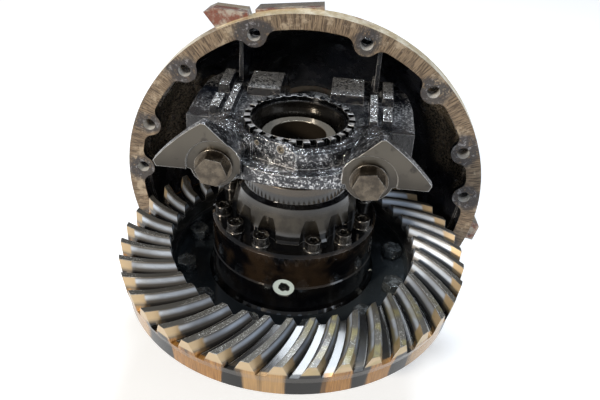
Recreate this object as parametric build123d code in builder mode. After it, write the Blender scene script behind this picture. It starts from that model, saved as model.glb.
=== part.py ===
"""Single-reduction drive-axle differential carrier: housing, ring gear and pinion, and differential case.

Frame, in millimetres: the origin is the centre of the housing's joint face, which bolts to the axle.
+X is to the right, +Y runs along the drive pinion away from the axle and +Z runs along the differential axis.
"""
from build123d import *
import math
import os

os.makedirs("parts", exist_ok=True)

# ---------------------------------------------------------------- driving dimensions
ring_axis_y = -95.5  # the differential axis stands this far in front of the joint face
spider_z = -14.9  # height of the spider, and of the seam between the case halves

ring_teeth = 39
pinion_teeth = 8
ring_tip_radius = 215.0
ring_heel_tip_z = -20.4
ring_back_z = -69.4
ring_web_z = -52.4
ring_bore_radius = 105.0
outer_cone_distance = 218.4
toe_cone_distance = 156.3
mean_cone_distance = 187.0
cutter_radius = 190.0
mean_spiral = math.radians(31.5)
pressure_angle = math.radians(20)
ring_tooth_share = 0.41  # of the circular pitch, at the pitch cone
ring_addendum_share = 0.60  # of the module
working_depth_share = 1.60
root_clearance_share = 0.19
flank_foot_share = 0.75  # the pinion's flanks end here and run square into the root
gap_overrun = 6.0  # how far a tooth gap's tool stands out of the blank
flank_gap = 0.22  # clearance that each pinion flank leaves beside the ring gear's

flange_radius = 240.4
flange_thickness = 22.0
window_radius = 221.0
lobe_radius = 16.0
flange_bolt_circle = 220.6
flange_bolt_angles = [18, 45, 70, 87.5, 110, 135, 162]  # from +Z, on both sides
flange_hole_radius = 8.0
bowl_wall = 12.0
bowl_inside = [(219, 20), (207, 60), (176, 96), (130, 122), (55, 141)]  # (radius about Y, y)
bowl_outside = [(232, 20), (219, 65), (186, 105), (136, 134), (55, 154)]
opening_radius = 197.0  # what passes through the axle's opening stays inside this

saddle_bore = 62.5
collar_radius = 76.4
collar_top_z = 148.6
arch_top_z = 129.1
arch_radius = 92.0
cap_bottom_z = 101.0
cap_bolt_x = 82.5
cap_bolt_z = 125.6
spotface_y = -173.5
wing_face_y = -176.0
wing_thickness = 30.0
arm_top_z = 143.0
pad_top_z = 153.6
crown_bore = 64.2

cover_flange_top_z = 30.6
case_radius = 100.0
case_bolt_circle = 88.0
case_bolt_angles = [base + turn for base in (0, 90, 180, 270) for turn in (-19.5, 19.5, 45)]
ring_bolt_circle = 134.0
ring_bolt_count = 12
hub_radius = 44.5
hub_bore = 32.0
hub_shoulder_z = 96.6
hub_end_z = 132.6
case_cavity_radius = 79.0
side_gear_pocket_radius = 64.0
trunnion_radius = 12.45
trunnion_bore = 12.5

side_teeth = 16
spider_teeth = 10
differential_cone_distance = 72.0
running_clearance = 0.08

head_bearing_y = 126.0
spacer_y = 161.0
tail_bearing_y = 264.0
cartridge_face_y = 190.0
drive_flange_y = 300.0
drive_flange_radius = 90.0
drive_bolt_circle = 155.0 / 2

# ---------------------------------------------------------------- worked-out dimensions
ring_cone = math.atan2(ring_teeth, pinion_teeth)
pinion_cone = math.pi / 2 - ring_cone
module = 2 * outer_cone_distance * math.sin(ring_cone) / ring_teeth
ring_addendum = ring_addendum_share * module
pinion_addendum = working_depth_share * module - ring_addendum
root_clearance = root_clearance_share * module
face_slope = math.pi / 2 - ring_cone - math.atan(ring_addendum / outer_cone_distance)
pinion_z = ring_heel_tip_z + ring_tip_radius * math.tan(face_slope)

differential_axis = Axis((0, ring_axis_y, 0), (0, 0, 1))
pinion_axis = Axis((0, 0, pinion_z), (0, 1, 0))
differential_section = Plane(origin=(0, ring_axis_y, 0), x_dir=(1, 0, 0), z_dir=(0, -1, 0))
pinion_section = Plane(origin=(0, 0, pinion_z), x_dir=(1, 0, 0), z_dir=(0, 0, 1))
joint_face = Plane.XZ
spider_plane = Plane(origin=(0, ring_axis_y, spider_z), x_dir=(1, 0, 0), z_dir=(0, 0, 1))


def finish_part(part, name):
    """Labels a finished piece and writes it out."""
    part.label = name
    export_step(part, "parts/" + name + ".step")


def outline(*corners):
    """Draws a closed straight-sided outline in the sketch at hand."""
    Polygon(*corners, align=None)


def level(z):
    """A plane square to the differential axis at height z."""
    return Plane(origin=(0, ring_axis_y, z), x_dir=(1, 0, 0), z_dir=(0, 0, 1))


def station(y):
    """A plane square to the pinion axis at y, with its normal along +Y."""
    return Plane(origin=(0, y, pinion_z), x_dir=(1, 0, 0), z_dir=(0, 1, 0))


def below(z):
    """The height that mirrors z in the spider's plane."""
    return 2 * spider_z - z


def mirrored(part):
    """A copy of a part on the other side of the spider's plane."""
    return mirror(part, about=spider_plane)


# ---------------------------------------------------------------- bevel gear teeth
# Both members of a pair are generated by one crown gear, a flat gear whose plane touches both pitch cones
# along their common line. A flank point meets that crown tooth where the line through it square to the flank
# crosses the pitch line, and the member has rolled there by its own share of the crown's turn.


def straight_trace(distance):
    """A tooth that runs straight to the apex: no turn and no spiral."""
    return 0.0, 0.0


def spiral_trace(distance):
    """The turn of a circular-arc tooth at a cone distance, and the tangent of its spiral angle there."""
    offset = math.sqrt(
        mean_cone_distance**2
        + cutter_radius**2
        - 2 * mean_cone_distance * cutter_radius * math.sin(mean_spiral)
    )
    turn = math.acos((distance**2 + offset**2 - cutter_radius**2) / (2 * distance * offset))
    sine = (distance**2 + cutter_radius**2 - offset**2) / (2 * distance * cutter_radius)
    return turn, math.tan(math.asin(sine))


def flank_point(distance, rise, start, slope, trace, cone, side, phase):
    """A generated flank point in the crown's frame: x along the pitch line, z square to the pitch plane.

    rise is the height over the pitch plane as a share of the cone distance, start and slope place the crown's
    flank, and side is -1 for the member under the pitch plane and 1 for the member over it.
    """
    turn, spiral = trace(distance)
    lead = -spiral - rise * slope
    contact = math.atan(rise / (rise * lead - slope))
    crown_turn = contact - (turn + start + slope * rise + phase)
    touch = Vector(distance * math.cos(contact), distance * math.sin(contact), distance * rise)
    own_axis = Axis((0, 0, 0), (math.cos(cone), 0, side * math.sin(cone)))
    return touch.rotate(own_axis, math.degrees(-side * crown_turn / math.sin(cone)))


def gap_section(plane_origin, plane_normal, flanks, rises, trace, cone, side, phase):
    """The two flank curves of a tooth gap, cut by one plane, as lists of points in the crown's frame."""
    reach = plane_origin.dot(plane_normal)
    curves = []
    for start, slope in flanks:
        curve = []
        for rise in rises:
            distance = plane_origin.length
            for _ in range(12):
                point = flank_point(distance, rise, start, slope, trace, cone, side, phase)
                distance *= reach / point.dot(plane_normal)
            curve.append(flank_point(distance, rise, start, slope, trace, cone, side, phase))
        curves.append(curve)
    return curves


def placed(point, frame_origin, frame_x, frame_y, frame_z):
    """A point of the crown's frame as a point of the assembly."""
    return frame_origin + frame_x * point.X + frame_y * point.Y + frame_z * point.Z


def gap_tool(stations, frame):
    """A solid that fills one tooth gap: it runs through a section at each station."""
    with BuildPart() as tool:
        for plane, left, right, depth in stations:
            local = []
            for curve in (left, right):
                local.append([plane.to_local_coords(placed(p, *frame)) for p in curve])
            first, last = local
            outward = math.copysign(gap_overrun, first[0].Y - first[-1].Y)
            floor = math.copysign(depth, -outward)
            with BuildSketch(plane):
                with BuildLine():
                    Spline(*[(p.X, p.Y) for p in first])
                    Polyline(
                        (first[-1].X, first[-1].Y),
                        (first[-1].X, floor),
                        (last[-1].X, floor),
                        (last[-1].X, last[-1].Y),
                    )
                    Spline(*[(p.X, p.Y) for p in reversed(last)])
                    Polyline(
                        (last[0].X, last[0].Y),
                        (last[0].X, last[0].Y + outward),
                        (first[0].X, first[0].Y + outward),
                        (first[0].X, first[0].Y),
                    )
                make_face()
        loft(ruled=len(stations) == 2)
    return tool.part


def spread(low, high, count):
    """Evenly spaced values from low to high."""
    return [low + (high - low) * i / (count - 1) for i in range(count)]


def member_gap(frame, trace, cone, side, phase, flanks, rises, depth, distances):
    """The tool for one gap of a gear, with sections square to the pitch cone's line, or to a pinion's axis.

    rises are the flank's heights, and depth the gap's floor, as shares of the cone distance.
    """
    middle = (flanks[0][0] + flanks[1][0]) / 2
    own_axis = Vector(math.cos(cone), 0, side * math.sin(cone))
    stations = []
    for distance in distances:
        turn, _ = trace(distance)
        roll = math.degrees(side * (turn + middle + phase) / math.sin(cone))
        origin = Vector(distance, 0, 0).rotate(Axis((0, 0, 0), own_axis), roll)
        normal = own_axis if cone < math.radians(20) else origin.normalized()
        left, right = gap_section(origin, normal, flanks, rises, trace, cone, side, phase)
        across = own_axis.cross(origin).normalized()
        plane = Plane(
            origin=placed(origin, *frame),
            x_dir=placed(across, Vector(0, 0, 0), *frame[1:]),
            z_dir=placed(normal, Vector(0, 0, 0), *frame[1:]),
        )
        stations.append((plane, left, right, depth * distance))
    return gap_tool(stations, frame)


def pair_frame(apex, lower_axis, upper_axis, lower_cone):
    """The crown's frame for a pair whose axes leave the apex at a right angle."""
    along = lower_axis * math.cos(lower_cone) + upper_axis * math.sin(lower_cone)
    square = upper_axis * math.cos(lower_cone) - lower_axis * math.sin(lower_cone)
    return apex, along, square.cross(along), square


# ---------------------------------------------------------------- ring gear and drive pinion
main_frame = pair_frame(
    Vector(0, ring_axis_y, pinion_z), Vector(0, 0, -1), Vector(0, 1, 0), ring_cone
)
main_pitch = 2 * math.pi * math.sin(ring_cone) / ring_teeth
main_half_tooth = ring_tooth_share * main_pitch / 2
main_slope = math.tan(pressure_angle) / math.cos(mean_spiral)
flank_gap_turn = flank_gap / mean_cone_distance / math.cos(mean_spiral) / math.cos(pressure_angle)
heel_turn, heel_spiral = spiral_trace(outer_cone_distance)
# A tooth gap of the ring gear has its heel end on the +X axis.
main_phase = -heel_turn - main_pitch / 2 - math.radians(90) * math.sin(ring_cone)
ring_gap_flanks = [
    (main_half_tooth, -main_slope),
    (main_pitch - main_half_tooth, main_slope),
]
pinion_gap_flanks = [
    (main_half_tooth + flank_gap_turn, -main_slope),
    (-main_half_tooth - flank_gap_turn, main_slope),
]
ring_gap = member_gap(
    main_frame,
    spiral_trace,
    ring_cone,
    -1,
    main_phase,
    ring_gap_flanks,
    spread((ring_addendum + 0.5) / outer_cone_distance, -pinion_addendum / outer_cone_distance, 7),
    (pinion_addendum + root_clearance) / outer_cone_distance,
    spread(toe_cone_distance - 9, outer_cone_distance + 5, 7),
)
pinion_gap = member_gap(
    main_frame,
    spiral_trace,
    pinion_cone,
    1,
    main_phase,
    pinion_gap_flanks,
    spread(
        -(pinion_addendum + 0.3) / outer_cone_distance,
        flank_foot_share * ring_addendum / outer_cone_distance,
        7,
    ),
    (ring_addendum + root_clearance) / outer_cone_distance,
    spread(toe_cone_distance - 6, outer_cone_distance + 8, 11),
)


# The ring gear: a blank with a bolted inner web, and its tooth gaps.
ring_tip_slope = math.tan(face_slope)
toe_tip_radius = toe_cone_distance * math.sin(ring_cone) + ring_addendum * math.cos(ring_cone) * 0.72
toe_tip_z = ring_heel_tip_z + (ring_tip_radius - toe_tip_radius) * ring_tip_slope
with BuildPart() as ring_gear:
    with BuildSketch(differential_section):
        outline(
            (ring_bore_radius, ring_back_z),
            (ring_bore_radius, ring_web_z),
            (toe_tip_radius - 8, ring_web_z),
            (toe_tip_radius - 5, ring_web_z + 16),
            (toe_tip_radius, toe_tip_z),
            (ring_tip_radius, ring_heel_tip_z),
            (ring_tip_radius - 3.0, ring_heel_tip_z - 20),
            (ring_tip_radius - 6.5, ring_heel_tip_z - 30),
            (ring_tip_radius - 8.0, ring_back_z),
        )
    revolve(axis=differential_axis)
    ring_gaps = [
        ring_gap.rotate(differential_axis, 360 / ring_teeth * i) for i in range(ring_teeth)
    ]
    add(ring_gaps, mode=Mode.SUBTRACT)
    with BuildSketch(level(ring_back_z)):
        with PolarLocations(ring_bolt_circle, ring_bolt_count, start_angle=15):
            Circle(8.2)
    extrude(amount=30, mode=Mode.SUBTRACT)
finish_part(ring_gear.part, "ring_gear")

# The drive pinion: nose journal, toothed head, bearing journals, splined end and threaded end on one shaft.
nose_start_y = 18.0
nose_radius = 20.0
head_toe_y = ring_axis_y + (toe_cone_distance - 2) * math.cos(pinion_cone)
head_heel_y = ring_axis_y + (outer_cone_distance + 1) * math.cos(pinion_cone)
pinion_tip_slope = math.tan(pinion_cone + math.atan(pinion_addendum / outer_cone_distance))
head_journal = 32.5
tail_journal = 27.5
spline_radius = 25.0
with BuildPart() as drive_pinion:
    with BuildSketch(pinion_section):
        outline(
            (0, nose_start_y),
            (nose_radius - 2, nose_start_y),
            (nose_radius, nose_start_y + 2),
            (nose_radius, head_toe_y - 6),
            (nose_radius + 4, head_toe_y - 2),
            (nose_radius + 5, head_toe_y),
            ((head_toe_y - ring_axis_y) * pinion_tip_slope, head_toe_y),
            ((head_heel_y - 3 - ring_axis_y) * pinion_tip_slope, head_heel_y - 3),
            ((head_heel_y - 3 - ring_axis_y) * pinion_tip_slope - 4, head_heel_y),
            (44, head_heel_y),
            (43, head_bearing_y),
            (head_journal, head_bearing_y),
            (head_journal, spacer_y + 2),
            (30, spacer_y + 4),
            (30, 228),
            (tail_journal, 230),
            (tail_journal, 266),
            (spline_radius, 268),
            (spline_radius, 306),
            (20, 308),
            (20, 334),
            (18.5, 335.5),
            (0, 335.5),
        )
    revolve(axis=pinion_axis)
    pinion_gaps = [
        pinion_gap.rotate(pinion_axis, 360 / pinion_teeth * i) for i in range(pinion_teeth)
    ]
    add(pinion_gaps, mode=Mode.SUBTRACT)
finish_part(drive_pinion.part, "drive_pinion")

# ---------------------------------------------------------------- differential case
case_inside = [
    (hub_bore, 147.5),
    (hub_bore, 96),
    (45 + running_clearance, 94),
    (45 + running_clearance, 59.5),
    (side_gear_pocket_radius, 59.5),
    (side_gear_pocket_radius, math.sqrt(case_cavity_radius**2 - side_gear_pocket_radius**2)),
]


def case_cavity(side):
    """The hollow of one case half: side is 1 above the spider and -1 below it."""
    with BuildPart() as hollow:
        with BuildSketch(differential_section):
            with BuildLine():
                corners = [(r, spider_z + side * h) for r, h in case_inside]
                Polyline(*corners)
                bend = case_cavity_radius * math.sqrt(0.5) * 1.2
                rise = math.sqrt(case_cavity_radius**2 - bend**2)
                ThreePointArc(
                    corners[-1], (bend, spider_z + side * rise), (case_cavity_radius, spider_z)
                )
                Polyline(
                    (case_cavity_radius, spider_z),
                    (case_cavity_radius, spider_z - side * 1.0),
                    (0, spider_z - side * 1.0),
                    (0, spider_z + side * 150),
                    (hub_bore, spider_z + side * 150),
                    corners[0],
                )
            make_face()
        revolve(axis=differential_axis)
    return hollow.part


def trunnion_bores():
    """Four bores for the spider's trunnions, along X and along Y."""
    with BuildPart() as bores:
        with BuildSketch(Plane(origin=(0, ring_axis_y, spider_z), z_dir=(1, 0, 0))):
            Circle(trunnion_bore)
        extrude(amount=120, both=True)
        with BuildSketch(Plane(origin=(0, ring_axis_y, spider_z), z_dir=(0, 1, 0))):
            Circle(trunnion_bore)
        extrude(amount=120, both=True)
    return bores.part


upper_cavity = case_cavity(1)
lower_cavity = case_cavity(-1)
trunnion_holes = trunnion_bores()
with BuildPart() as case_bolt_holes:
    for case_bolt_angle in case_bolt_angles:
        turned = math.radians(case_bolt_angle)
        spot = (case_bolt_circle * math.cos(turned), case_bolt_circle * math.sin(turned))
        with BuildSketch(level(-62)):
            with Locations(spot):
                Circle(7.0)
        extrude(amount=100)

with BuildPart() as case_cover:
    with BuildSketch(differential_section):
        outline(
            (0, spider_z),
            (case_radius - 1.5, spider_z),
            (case_radius, spider_z + 1.5),
            (case_radius, cover_flange_top_z - 3),
            (case_radius - 3, cover_flange_top_z),
            (78, cover_flange_top_z),
            (76, cover_flange_top_z + 3),
            (75, cover_flange_top_z + 11),
            (68.3, cover_flange_top_z + 41),
            (63, cover_flange_top_z + 45),
            (63, hub_shoulder_z - 2),
            (61, hub_shoulder_z),
            (hub_radius, hub_shoulder_z),
            (hub_radius, hub_end_z - 2),
            (hub_radius - 2, hub_end_z),
            (0, hub_end_z),
        )
    revolve(axis=differential_axis)
    add([upper_cavity, trunnion_holes, case_bolt_holes.part], mode=Mode.SUBTRACT)
    for case_bolt_angle in case_bolt_angles:
        turned = math.radians(case_bolt_angle)
        spot = (case_bolt_circle * math.cos(turned), case_bolt_circle * math.sin(turned))
        with BuildSketch(level(cover_flange_top_z)):
            with Locations(spot):
                Circle(18)
        extrude(amount=28, mode=Mode.SUBTRACT)
finish_part(case_cover.part, "case_cover_half")

ring_seat_radius = 152.0
ring_seat_back_z = ring_back_z - 20
with BuildPart() as case_flange_half:
    with BuildSketch(differential_section):
        outline(
            (0, spider_z),
            (case_radius - 1.5, spider_z),
            (case_radius, spider_z - 1.5),
            (case_radius, ring_web_z + 8),
            (case_radius + 1.5, ring_web_z + 3),
            (ring_bore_radius - 0.05, ring_web_z - 1),
            (ring_bore_radius - 0.05, ring_back_z),
            (ring_seat_radius - 1.5, ring_back_z),
            (ring_seat_radius, ring_back_z - 1.5),
            (ring_seat_radius, ring_seat_back_z),
            (108, ring_seat_back_z),
            (92, ring_seat_back_z - 3),
            (78, ring_seat_back_z - 12),
            (64, below(cover_flange_top_z + 45)),
            (63, below(hub_shoulder_z - 10)),
            (63, below(hub_shoulder_z - 2)),
            (61, below(hub_shoulder_z)),
            (hub_radius, below(hub_shoulder_z)),
            (hub_radius, below(hub_end_z - 2)),
            (hub_radius - 2, below(hub_end_z)),
            (0, below(hub_end_z)),
        )
    revolve(axis=differential_axis)
    add([lower_cavity, trunnion_holes, case_bolt_holes.part], mode=Mode.SUBTRACT)
    with BuildSketch(level(ring_seat_back_z)):
        with PolarLocations(ring_bolt_circle, ring_bolt_count, start_angle=15):
            Circle(8.2)
    extrude(amount=30, mode=Mode.SUBTRACT)
finish_part(case_flange_half.part, "case_flange_half")

with BuildPart() as case_bolts:
    for case_bolt_angle in case_bolt_angles:
        turned = math.radians(case_bolt_angle)
        spot = (case_bolt_circle * math.cos(turned), case_bolt_circle * math.sin(turned))
        with BuildSketch(level(-60)):
            with Locations(spot):
                Circle(6.95)
        extrude(amount=60 + cover_flange_top_z)
        with BuildSketch(level(cover_flange_top_z)):
            with Locations(spot):
                Circle(10.5)
        extrude(amount=3)
        with BuildSketch(level(cover_flange_top_z + 3)):
            with Locations(spot):
                Circle(9.2)
        extrude(amount=11)
        with BuildSketch(level(cover_flange_top_z + 14)):
            with Locations(spot):
                Circle(4.4)
                with PolarLocations(4.4, 6):
                    Circle(1.3)
        extrude(amount=-7, mode=Mode.SUBTRACT)
finish_part(case_bolts.part, "case_bolts")

with BuildPart() as ring_gear_bolts:
    with BuildSketch(level(ring_web_z)):
        with PolarLocations(ring_bolt_circle, ring_bolt_count, start_angle=15):
            Circle(11.6)
    extrude(amount=2)
    with BuildSketch(level(ring_web_z + 2)):
        with PolarLocations(ring_bolt_circle, ring_bolt_count, start_angle=15):
            RegularPolygon(11.6, 6, major_radius=False, rotation=30)
    extrude(amount=10, taper=3)
    with BuildSketch(level(ring_web_z)):
        with PolarLocations(ring_bolt_circle, ring_bolt_count, start_angle=15):
            Circle(8)
    extrude(amount=-(ring_web_z - ring_seat_back_z + 16))
finish_part(ring_gear_bolts.part, "ring_gear_bolts")

with BuildPart() as ring_gear_nuts:
    with BuildSketch(level(ring_seat_back_z)):
        with PolarLocations(ring_bolt_circle, ring_bolt_count, start_angle=15):
            RegularPolygon(12, 6, major_radius=False)
            Circle(8, mode=Mode.SUBTRACT)
    extrude(amount=-13)
finish_part(ring_gear_nuts.part, "ring_gear_nuts")

with BuildPart() as spider:
    with BuildSketch(Plane(origin=(0, ring_axis_y, spider_z), z_dir=(1, 0, 0))):
        Circle(trunnion_radius)
    extrude(amount=98.5, both=True)
    with BuildSketch(Plane(origin=(0, ring_axis_y, spider_z), z_dir=(0, 1, 0))):
        Circle(trunnion_radius)
    extrude(amount=98.5, both=True)
    with BuildSketch(level(spider_z)):
        Circle(24)
    extrude(amount=14, both=True)
    with BuildSketch(level(spider_z)):
        Circle(13)
    extrude(amount=20, both=True, mode=Mode.SUBTRACT)
    for turn in range(4):
        reach = math.radians(90 * turn)
        outward = (math.cos(reach), math.sin(reach), 0)
        end = (98.5 * outward[0], ring_axis_y + 98.5 * outward[1], spider_z)
        with BuildSketch(Plane(origin=end, z_dir=outward)):
            Circle(3.2)
        extrude(amount=-14, mode=Mode.SUBTRACT)
finish_part(spider.part, "spider")

# ---------------------------------------------------------------- side gears and spider pinions
side_cone = math.atan2(side_teeth, spider_teeth)
spider_cone = math.pi / 2 - side_cone
differential_module = 2 * differential_cone_distance * math.sin(side_cone) / side_teeth
differential_addendum = 0.85 * differential_module
differential_root = 1.05 * differential_module
differential_pitch = 2 * math.pi * math.sin(side_cone) / side_teeth
differential_slope = math.tan(math.radians(22.5))
side_half_tooth = 0.25 * differential_pitch - 0.12 / differential_cone_distance
spider_half_gap = 0.25 * differential_pitch + 0.12 / differential_cone_distance
inner_cone_distance = 44.0
spider_centre = Vector(0, ring_axis_y, spider_z)
spider_frame = pair_frame(spider_centre, Vector(0, 0, -1), Vector(1, 0, 0), side_cone)
add_share = differential_addendum / differential_cone_distance
root_share = differential_root / differential_cone_distance
side_gap = member_gap(
    spider_frame,
    straight_trace,
    side_cone,
    -1,
    0.0,
    [(side_half_tooth, -differential_slope), (differential_pitch - side_half_tooth, differential_slope)],
    spread(add_share, -0.8 * root_share, 6),
    root_share,
    [inner_cone_distance - 8, differential_cone_distance + 8],
)
spider_gap = member_gap(
    spider_frame,
    straight_trace,
    spider_cone,
    1,
    0.0,
    [(spider_half_gap, -differential_slope), (-spider_half_gap, differential_slope)],
    spread(-add_share, 0.8 * add_share, 6),
    root_share,
    [inner_cone_distance - 8, differential_cone_distance + 8],
)


def cone_point(distance, rise, cone):
    """(radius, height) of a point over a gear's pitch cone, measured from the apex along its own axis."""
    radius = distance * math.sin(cone) + rise * math.cos(cone)
    return radius, distance * math.cos(cone) - rise * math.sin(cone)


side_heel = cone_point(differential_cone_distance, differential_addendum, side_cone)
side_toe = cone_point(inner_cone_distance, differential_addendum * 0.61, side_cone)
with BuildPart() as side_gear_lower:
    with BuildSketch(differential_section):
        outline(
            (26, spider_z - 24),
            (side_toe[0], spider_z - side_toe[1]),
            (side_heel[0], spider_z - side_heel[1]),
            (63, spider_z - 46),
            (63, spider_z - 57),
            (45, spider_z - 57),
            (45, spider_z - 92),
            (26, spider_z - 92),
        )
    revolve(axis=differential_axis)
    side_gaps = [side_gap.rotate(differential_axis, 360 / side_teeth * i) for i in range(side_teeth)]
    add(side_gaps, mode=Mode.SUBTRACT)
    with BuildSketch(level(spider_z - 92)):
        with PolarLocations(26.5, 24):
            Rectangle(4, 3)
    extrude(amount=70, mode=Mode.SUBTRACT)
finish_part(side_gear_lower.part, "side_gear_lower")
side_gear_upper = mirrored(side_gear_lower.part)
finish_part(side_gear_upper, "side_gear_upper")

spider_heel = cone_point(differential_cone_distance, differential_addendum, spider_cone)
spider_toe = cone_point(inner_cone_distance, differential_addendum * 0.61, spider_cone)
spider_pinion_section = Plane(origin=(0, ring_axis_y, spider_z), x_dir=(0, 1, 0), z_dir=(0, 0, -1))
spider_back_radius = case_cavity_radius - 2.0
with BuildPart() as spider_pinion:
    with BuildSketch(spider_pinion_section):
        with BuildLine():
            Polyline(
                (trunnion_radius + running_clearance, math.sqrt(spider_back_radius**2 - 156.6)),
                (trunnion_radius + running_clearance, 30),
                (20, 30),
                (spider_toe[0], spider_toe[1]),
                (spider_heel[0], spider_heel[1]),
                (math.sqrt(spider_back_radius**2 - 66.0**2), 66.0),
            )
            ThreePointArc(
                (math.sqrt(spider_back_radius**2 - 66.0**2), 66.0),
                (math.sqrt(spider_back_radius**2 - 73.0**2), 73.0),
                (trunnion_radius + running_clearance, math.sqrt(spider_back_radius**2 - 156.6)),
            )
        make_face()
    revolve(axis=Axis((0, ring_axis_y, spider_z), (1, 0, 0)))
    spider_gaps = [
        spider_gap.rotate(Axis((0, ring_axis_y, spider_z), (1, 0, 0)), 360 / spider_teeth * i)
        for i in range(spider_teeth)
    ]
    add(spider_gaps, mode=Mode.SUBTRACT)
for turn in range(4):
    finish_part(
        spider_pinion.part.rotate(differential_axis, 90 * turn), "spider_pinion_" + str(turn + 1)
    )

with BuildPart() as spider_pinion_washers:
    with BuildSketch(spider_pinion_section):
        with BuildLine():
            outer = case_cavity_radius - 0.05
            inner = spider_back_radius + 0.3
            low = trunnion_bore + 0.3
            high = 34.0
            ThreePointArc(
                (low, math.sqrt(outer**2 - low**2)),
                (24, math.sqrt(outer**2 - 24**2)),
                (high, math.sqrt(outer**2 - high**2)),
            )
            Line((high, math.sqrt(outer**2 - high**2)), (high, math.sqrt(inner**2 - high**2)))
            ThreePointArc(
                (high, math.sqrt(inner**2 - high**2)),
                (24, math.sqrt(inner**2 - 24**2)),
                (low, math.sqrt(inner**2 - low**2)),
            )
            Line((low, math.sqrt(inner**2 - low**2)), (low, math.sqrt(outer**2 - low**2)))
        make_face()
    revolve(axis=Axis((0, ring_axis_y, spider_z), (1, 0, 0)))
    one_washer = spider_pinion_washers.part
    add([one_washer.rotate(differential_axis, 90 * turn) for turn in (1, 2, 3)])
finish_part(spider_pinion_washers.part, "spider_pinion_washers")

with BuildPart() as thrust_washer:
    with BuildSketch(level(spider_z - 59.5)):
        Circle(62)
        Circle(46, mode=Mode.SUBTRACT)
    extrude(amount=2.2)
finish_part(thrust_washer.part, "side_gear_washer_lower")
finish_part(mirrored(thrust_washer.part), "side_gear_washer_upper")

# ---------------------------------------------------------------- taper roller bearings


def raceway(size, offset):
    """A line parallel to the rollers' sides: its radius at an axial place, for a roller-side offset."""
    tilt = math.radians(size["tilt"])
    lean = size["taper"] * (1 if offset > 0 else -1)
    reach = size["roller"] + abs(offset)
    normal = (math.cos(tilt), math.sin(tilt))
    sign = 1 if offset > 0 else -1
    base = (size["mean"] + sign * reach * normal[0], size["middle"] + sign * reach * normal[1])
    slope = -math.tan(tilt + lean)
    return lambda place: base[0] + (place - base[1]) * slope


roller_gap = 0.3


def bearing_size(bore, outside, width, roller_count):
    """The proportions of a taper roller bearing; its big end stands at 0 along its own axis."""
    roller = (outside - bore) * 0.235
    return {
        "bore": bore,
        "outside": outside,
        "width": width,
        "count": roller_count,
        "tilt": 13.0,
        "taper": math.radians(1.6),
        "roller": roller,
        "mean": (bore + outside) / 2,
        "middle": width * 0.5,
        "length": width * 0.62,
    }


def taper_bearing(size, origin, radial, axial, names):
    """Writes a bearing's cup, cone, rollers and cage. axial points from its big end to its small end."""
    radial = Vector(*radial)
    axial = Vector(*axial)
    section = Plane(origin=origin, x_dir=radial, z_dir=radial.cross(axial))
    axis = Axis(origin, axial)
    tilt = math.radians(size["tilt"])
    width = size["width"]
    roller = size["roller"]
    inner_race = raceway(size, -roller_gap)
    outer_race = raceway(size, roller_gap)
    half = size["length"] / 2
    big_end = size["middle"] - half * math.cos(tilt) - roller * math.sin(tilt) - 0.6
    small_end = size["middle"] + half * math.cos(tilt) + roller * math.sin(tilt) + 0.6
    rib = 0.5 * roller
    with BuildPart() as cone:
        with BuildSketch(section):
            outline(
                (size["bore"], 0),
                (inner_race(big_end) + rib, 0),
                (inner_race(big_end) + rib, big_end),
                (inner_race(big_end), big_end),
                (inner_race(small_end), small_end),
                (inner_race(small_end) + 0.3 * roller, small_end),
                (inner_race(small_end) + 0.3 * roller, width - 1),
                (size["bore"], width - 1),
            )
        revolve(axis=axis)
    finish_part(cone.part, names["cone"])
    cup_start = width * 0.05
    with BuildPart() as cup:
        with BuildSketch(section):
            outline(
                (outer_race(cup_start), cup_start),
                (size["outside"], cup_start),
                (size["outside"], width),
                (outer_race(width), width),
            )
        revolve(axis=axis)
    finish_part(cup.part, names["cup"])
    ring_plane = Plane(origin=Vector(*origin) + axial * size["middle"], x_dir=radial, z_dir=axial)
    spread_radius = math.tan(size["taper"]) * half
    with BuildPart(ring_plane) as rollers:
        with PolarLocations(size["mean"], size["count"]):
            Cone(
                roller + spread_radius,
                roller - spread_radius,
                size["length"],
                rotation=(0, -size["tilt"], 0),
            )
    finish_part(rollers.part, names["rollers"])
    cage_half = half + 2.0
    cage_offset = 0.9
    along = (-math.sin(tilt), math.cos(tilt))
    normal = (math.cos(tilt), math.sin(tilt))
    corners = []
    for place, rise in ((-1, -cage_offset), (-1, cage_offset), (1, cage_offset), (1, -cage_offset)):
        corners.append(
            (
                size["mean"] + along[0] * place * cage_half + normal[0] * (rise + 0.8),
                size["middle"] + along[1] * place * cage_half + normal[1] * (rise + 0.8),
            )
        )
    with BuildPart() as cage:
        with BuildSketch(section):
            outline(*corners)
        revolve(axis=axis)
    with BuildPart(ring_plane) as pockets:
        with PolarLocations(size["mean"], size["count"]):
            Cone(
                roller + spread_radius + 0.2,
                roller - spread_radius + 0.2,
                size["length"] + 0.4,
                rotation=(0, -size["tilt"], 0),
            )
    with BuildPart() as caged:
        add(cage.part)
        add(pockets.part, mode=Mode.SUBTRACT)
    finish_part(caged.part, names["cage"])


def bearing_names(prefix, suffix=""):
    """The node names of one bearing's pieces."""
    pieces = ("cup", "cone", "rollers", "cage")
    return {piece: prefix + "_" + piece + suffix for piece in pieces}


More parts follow.
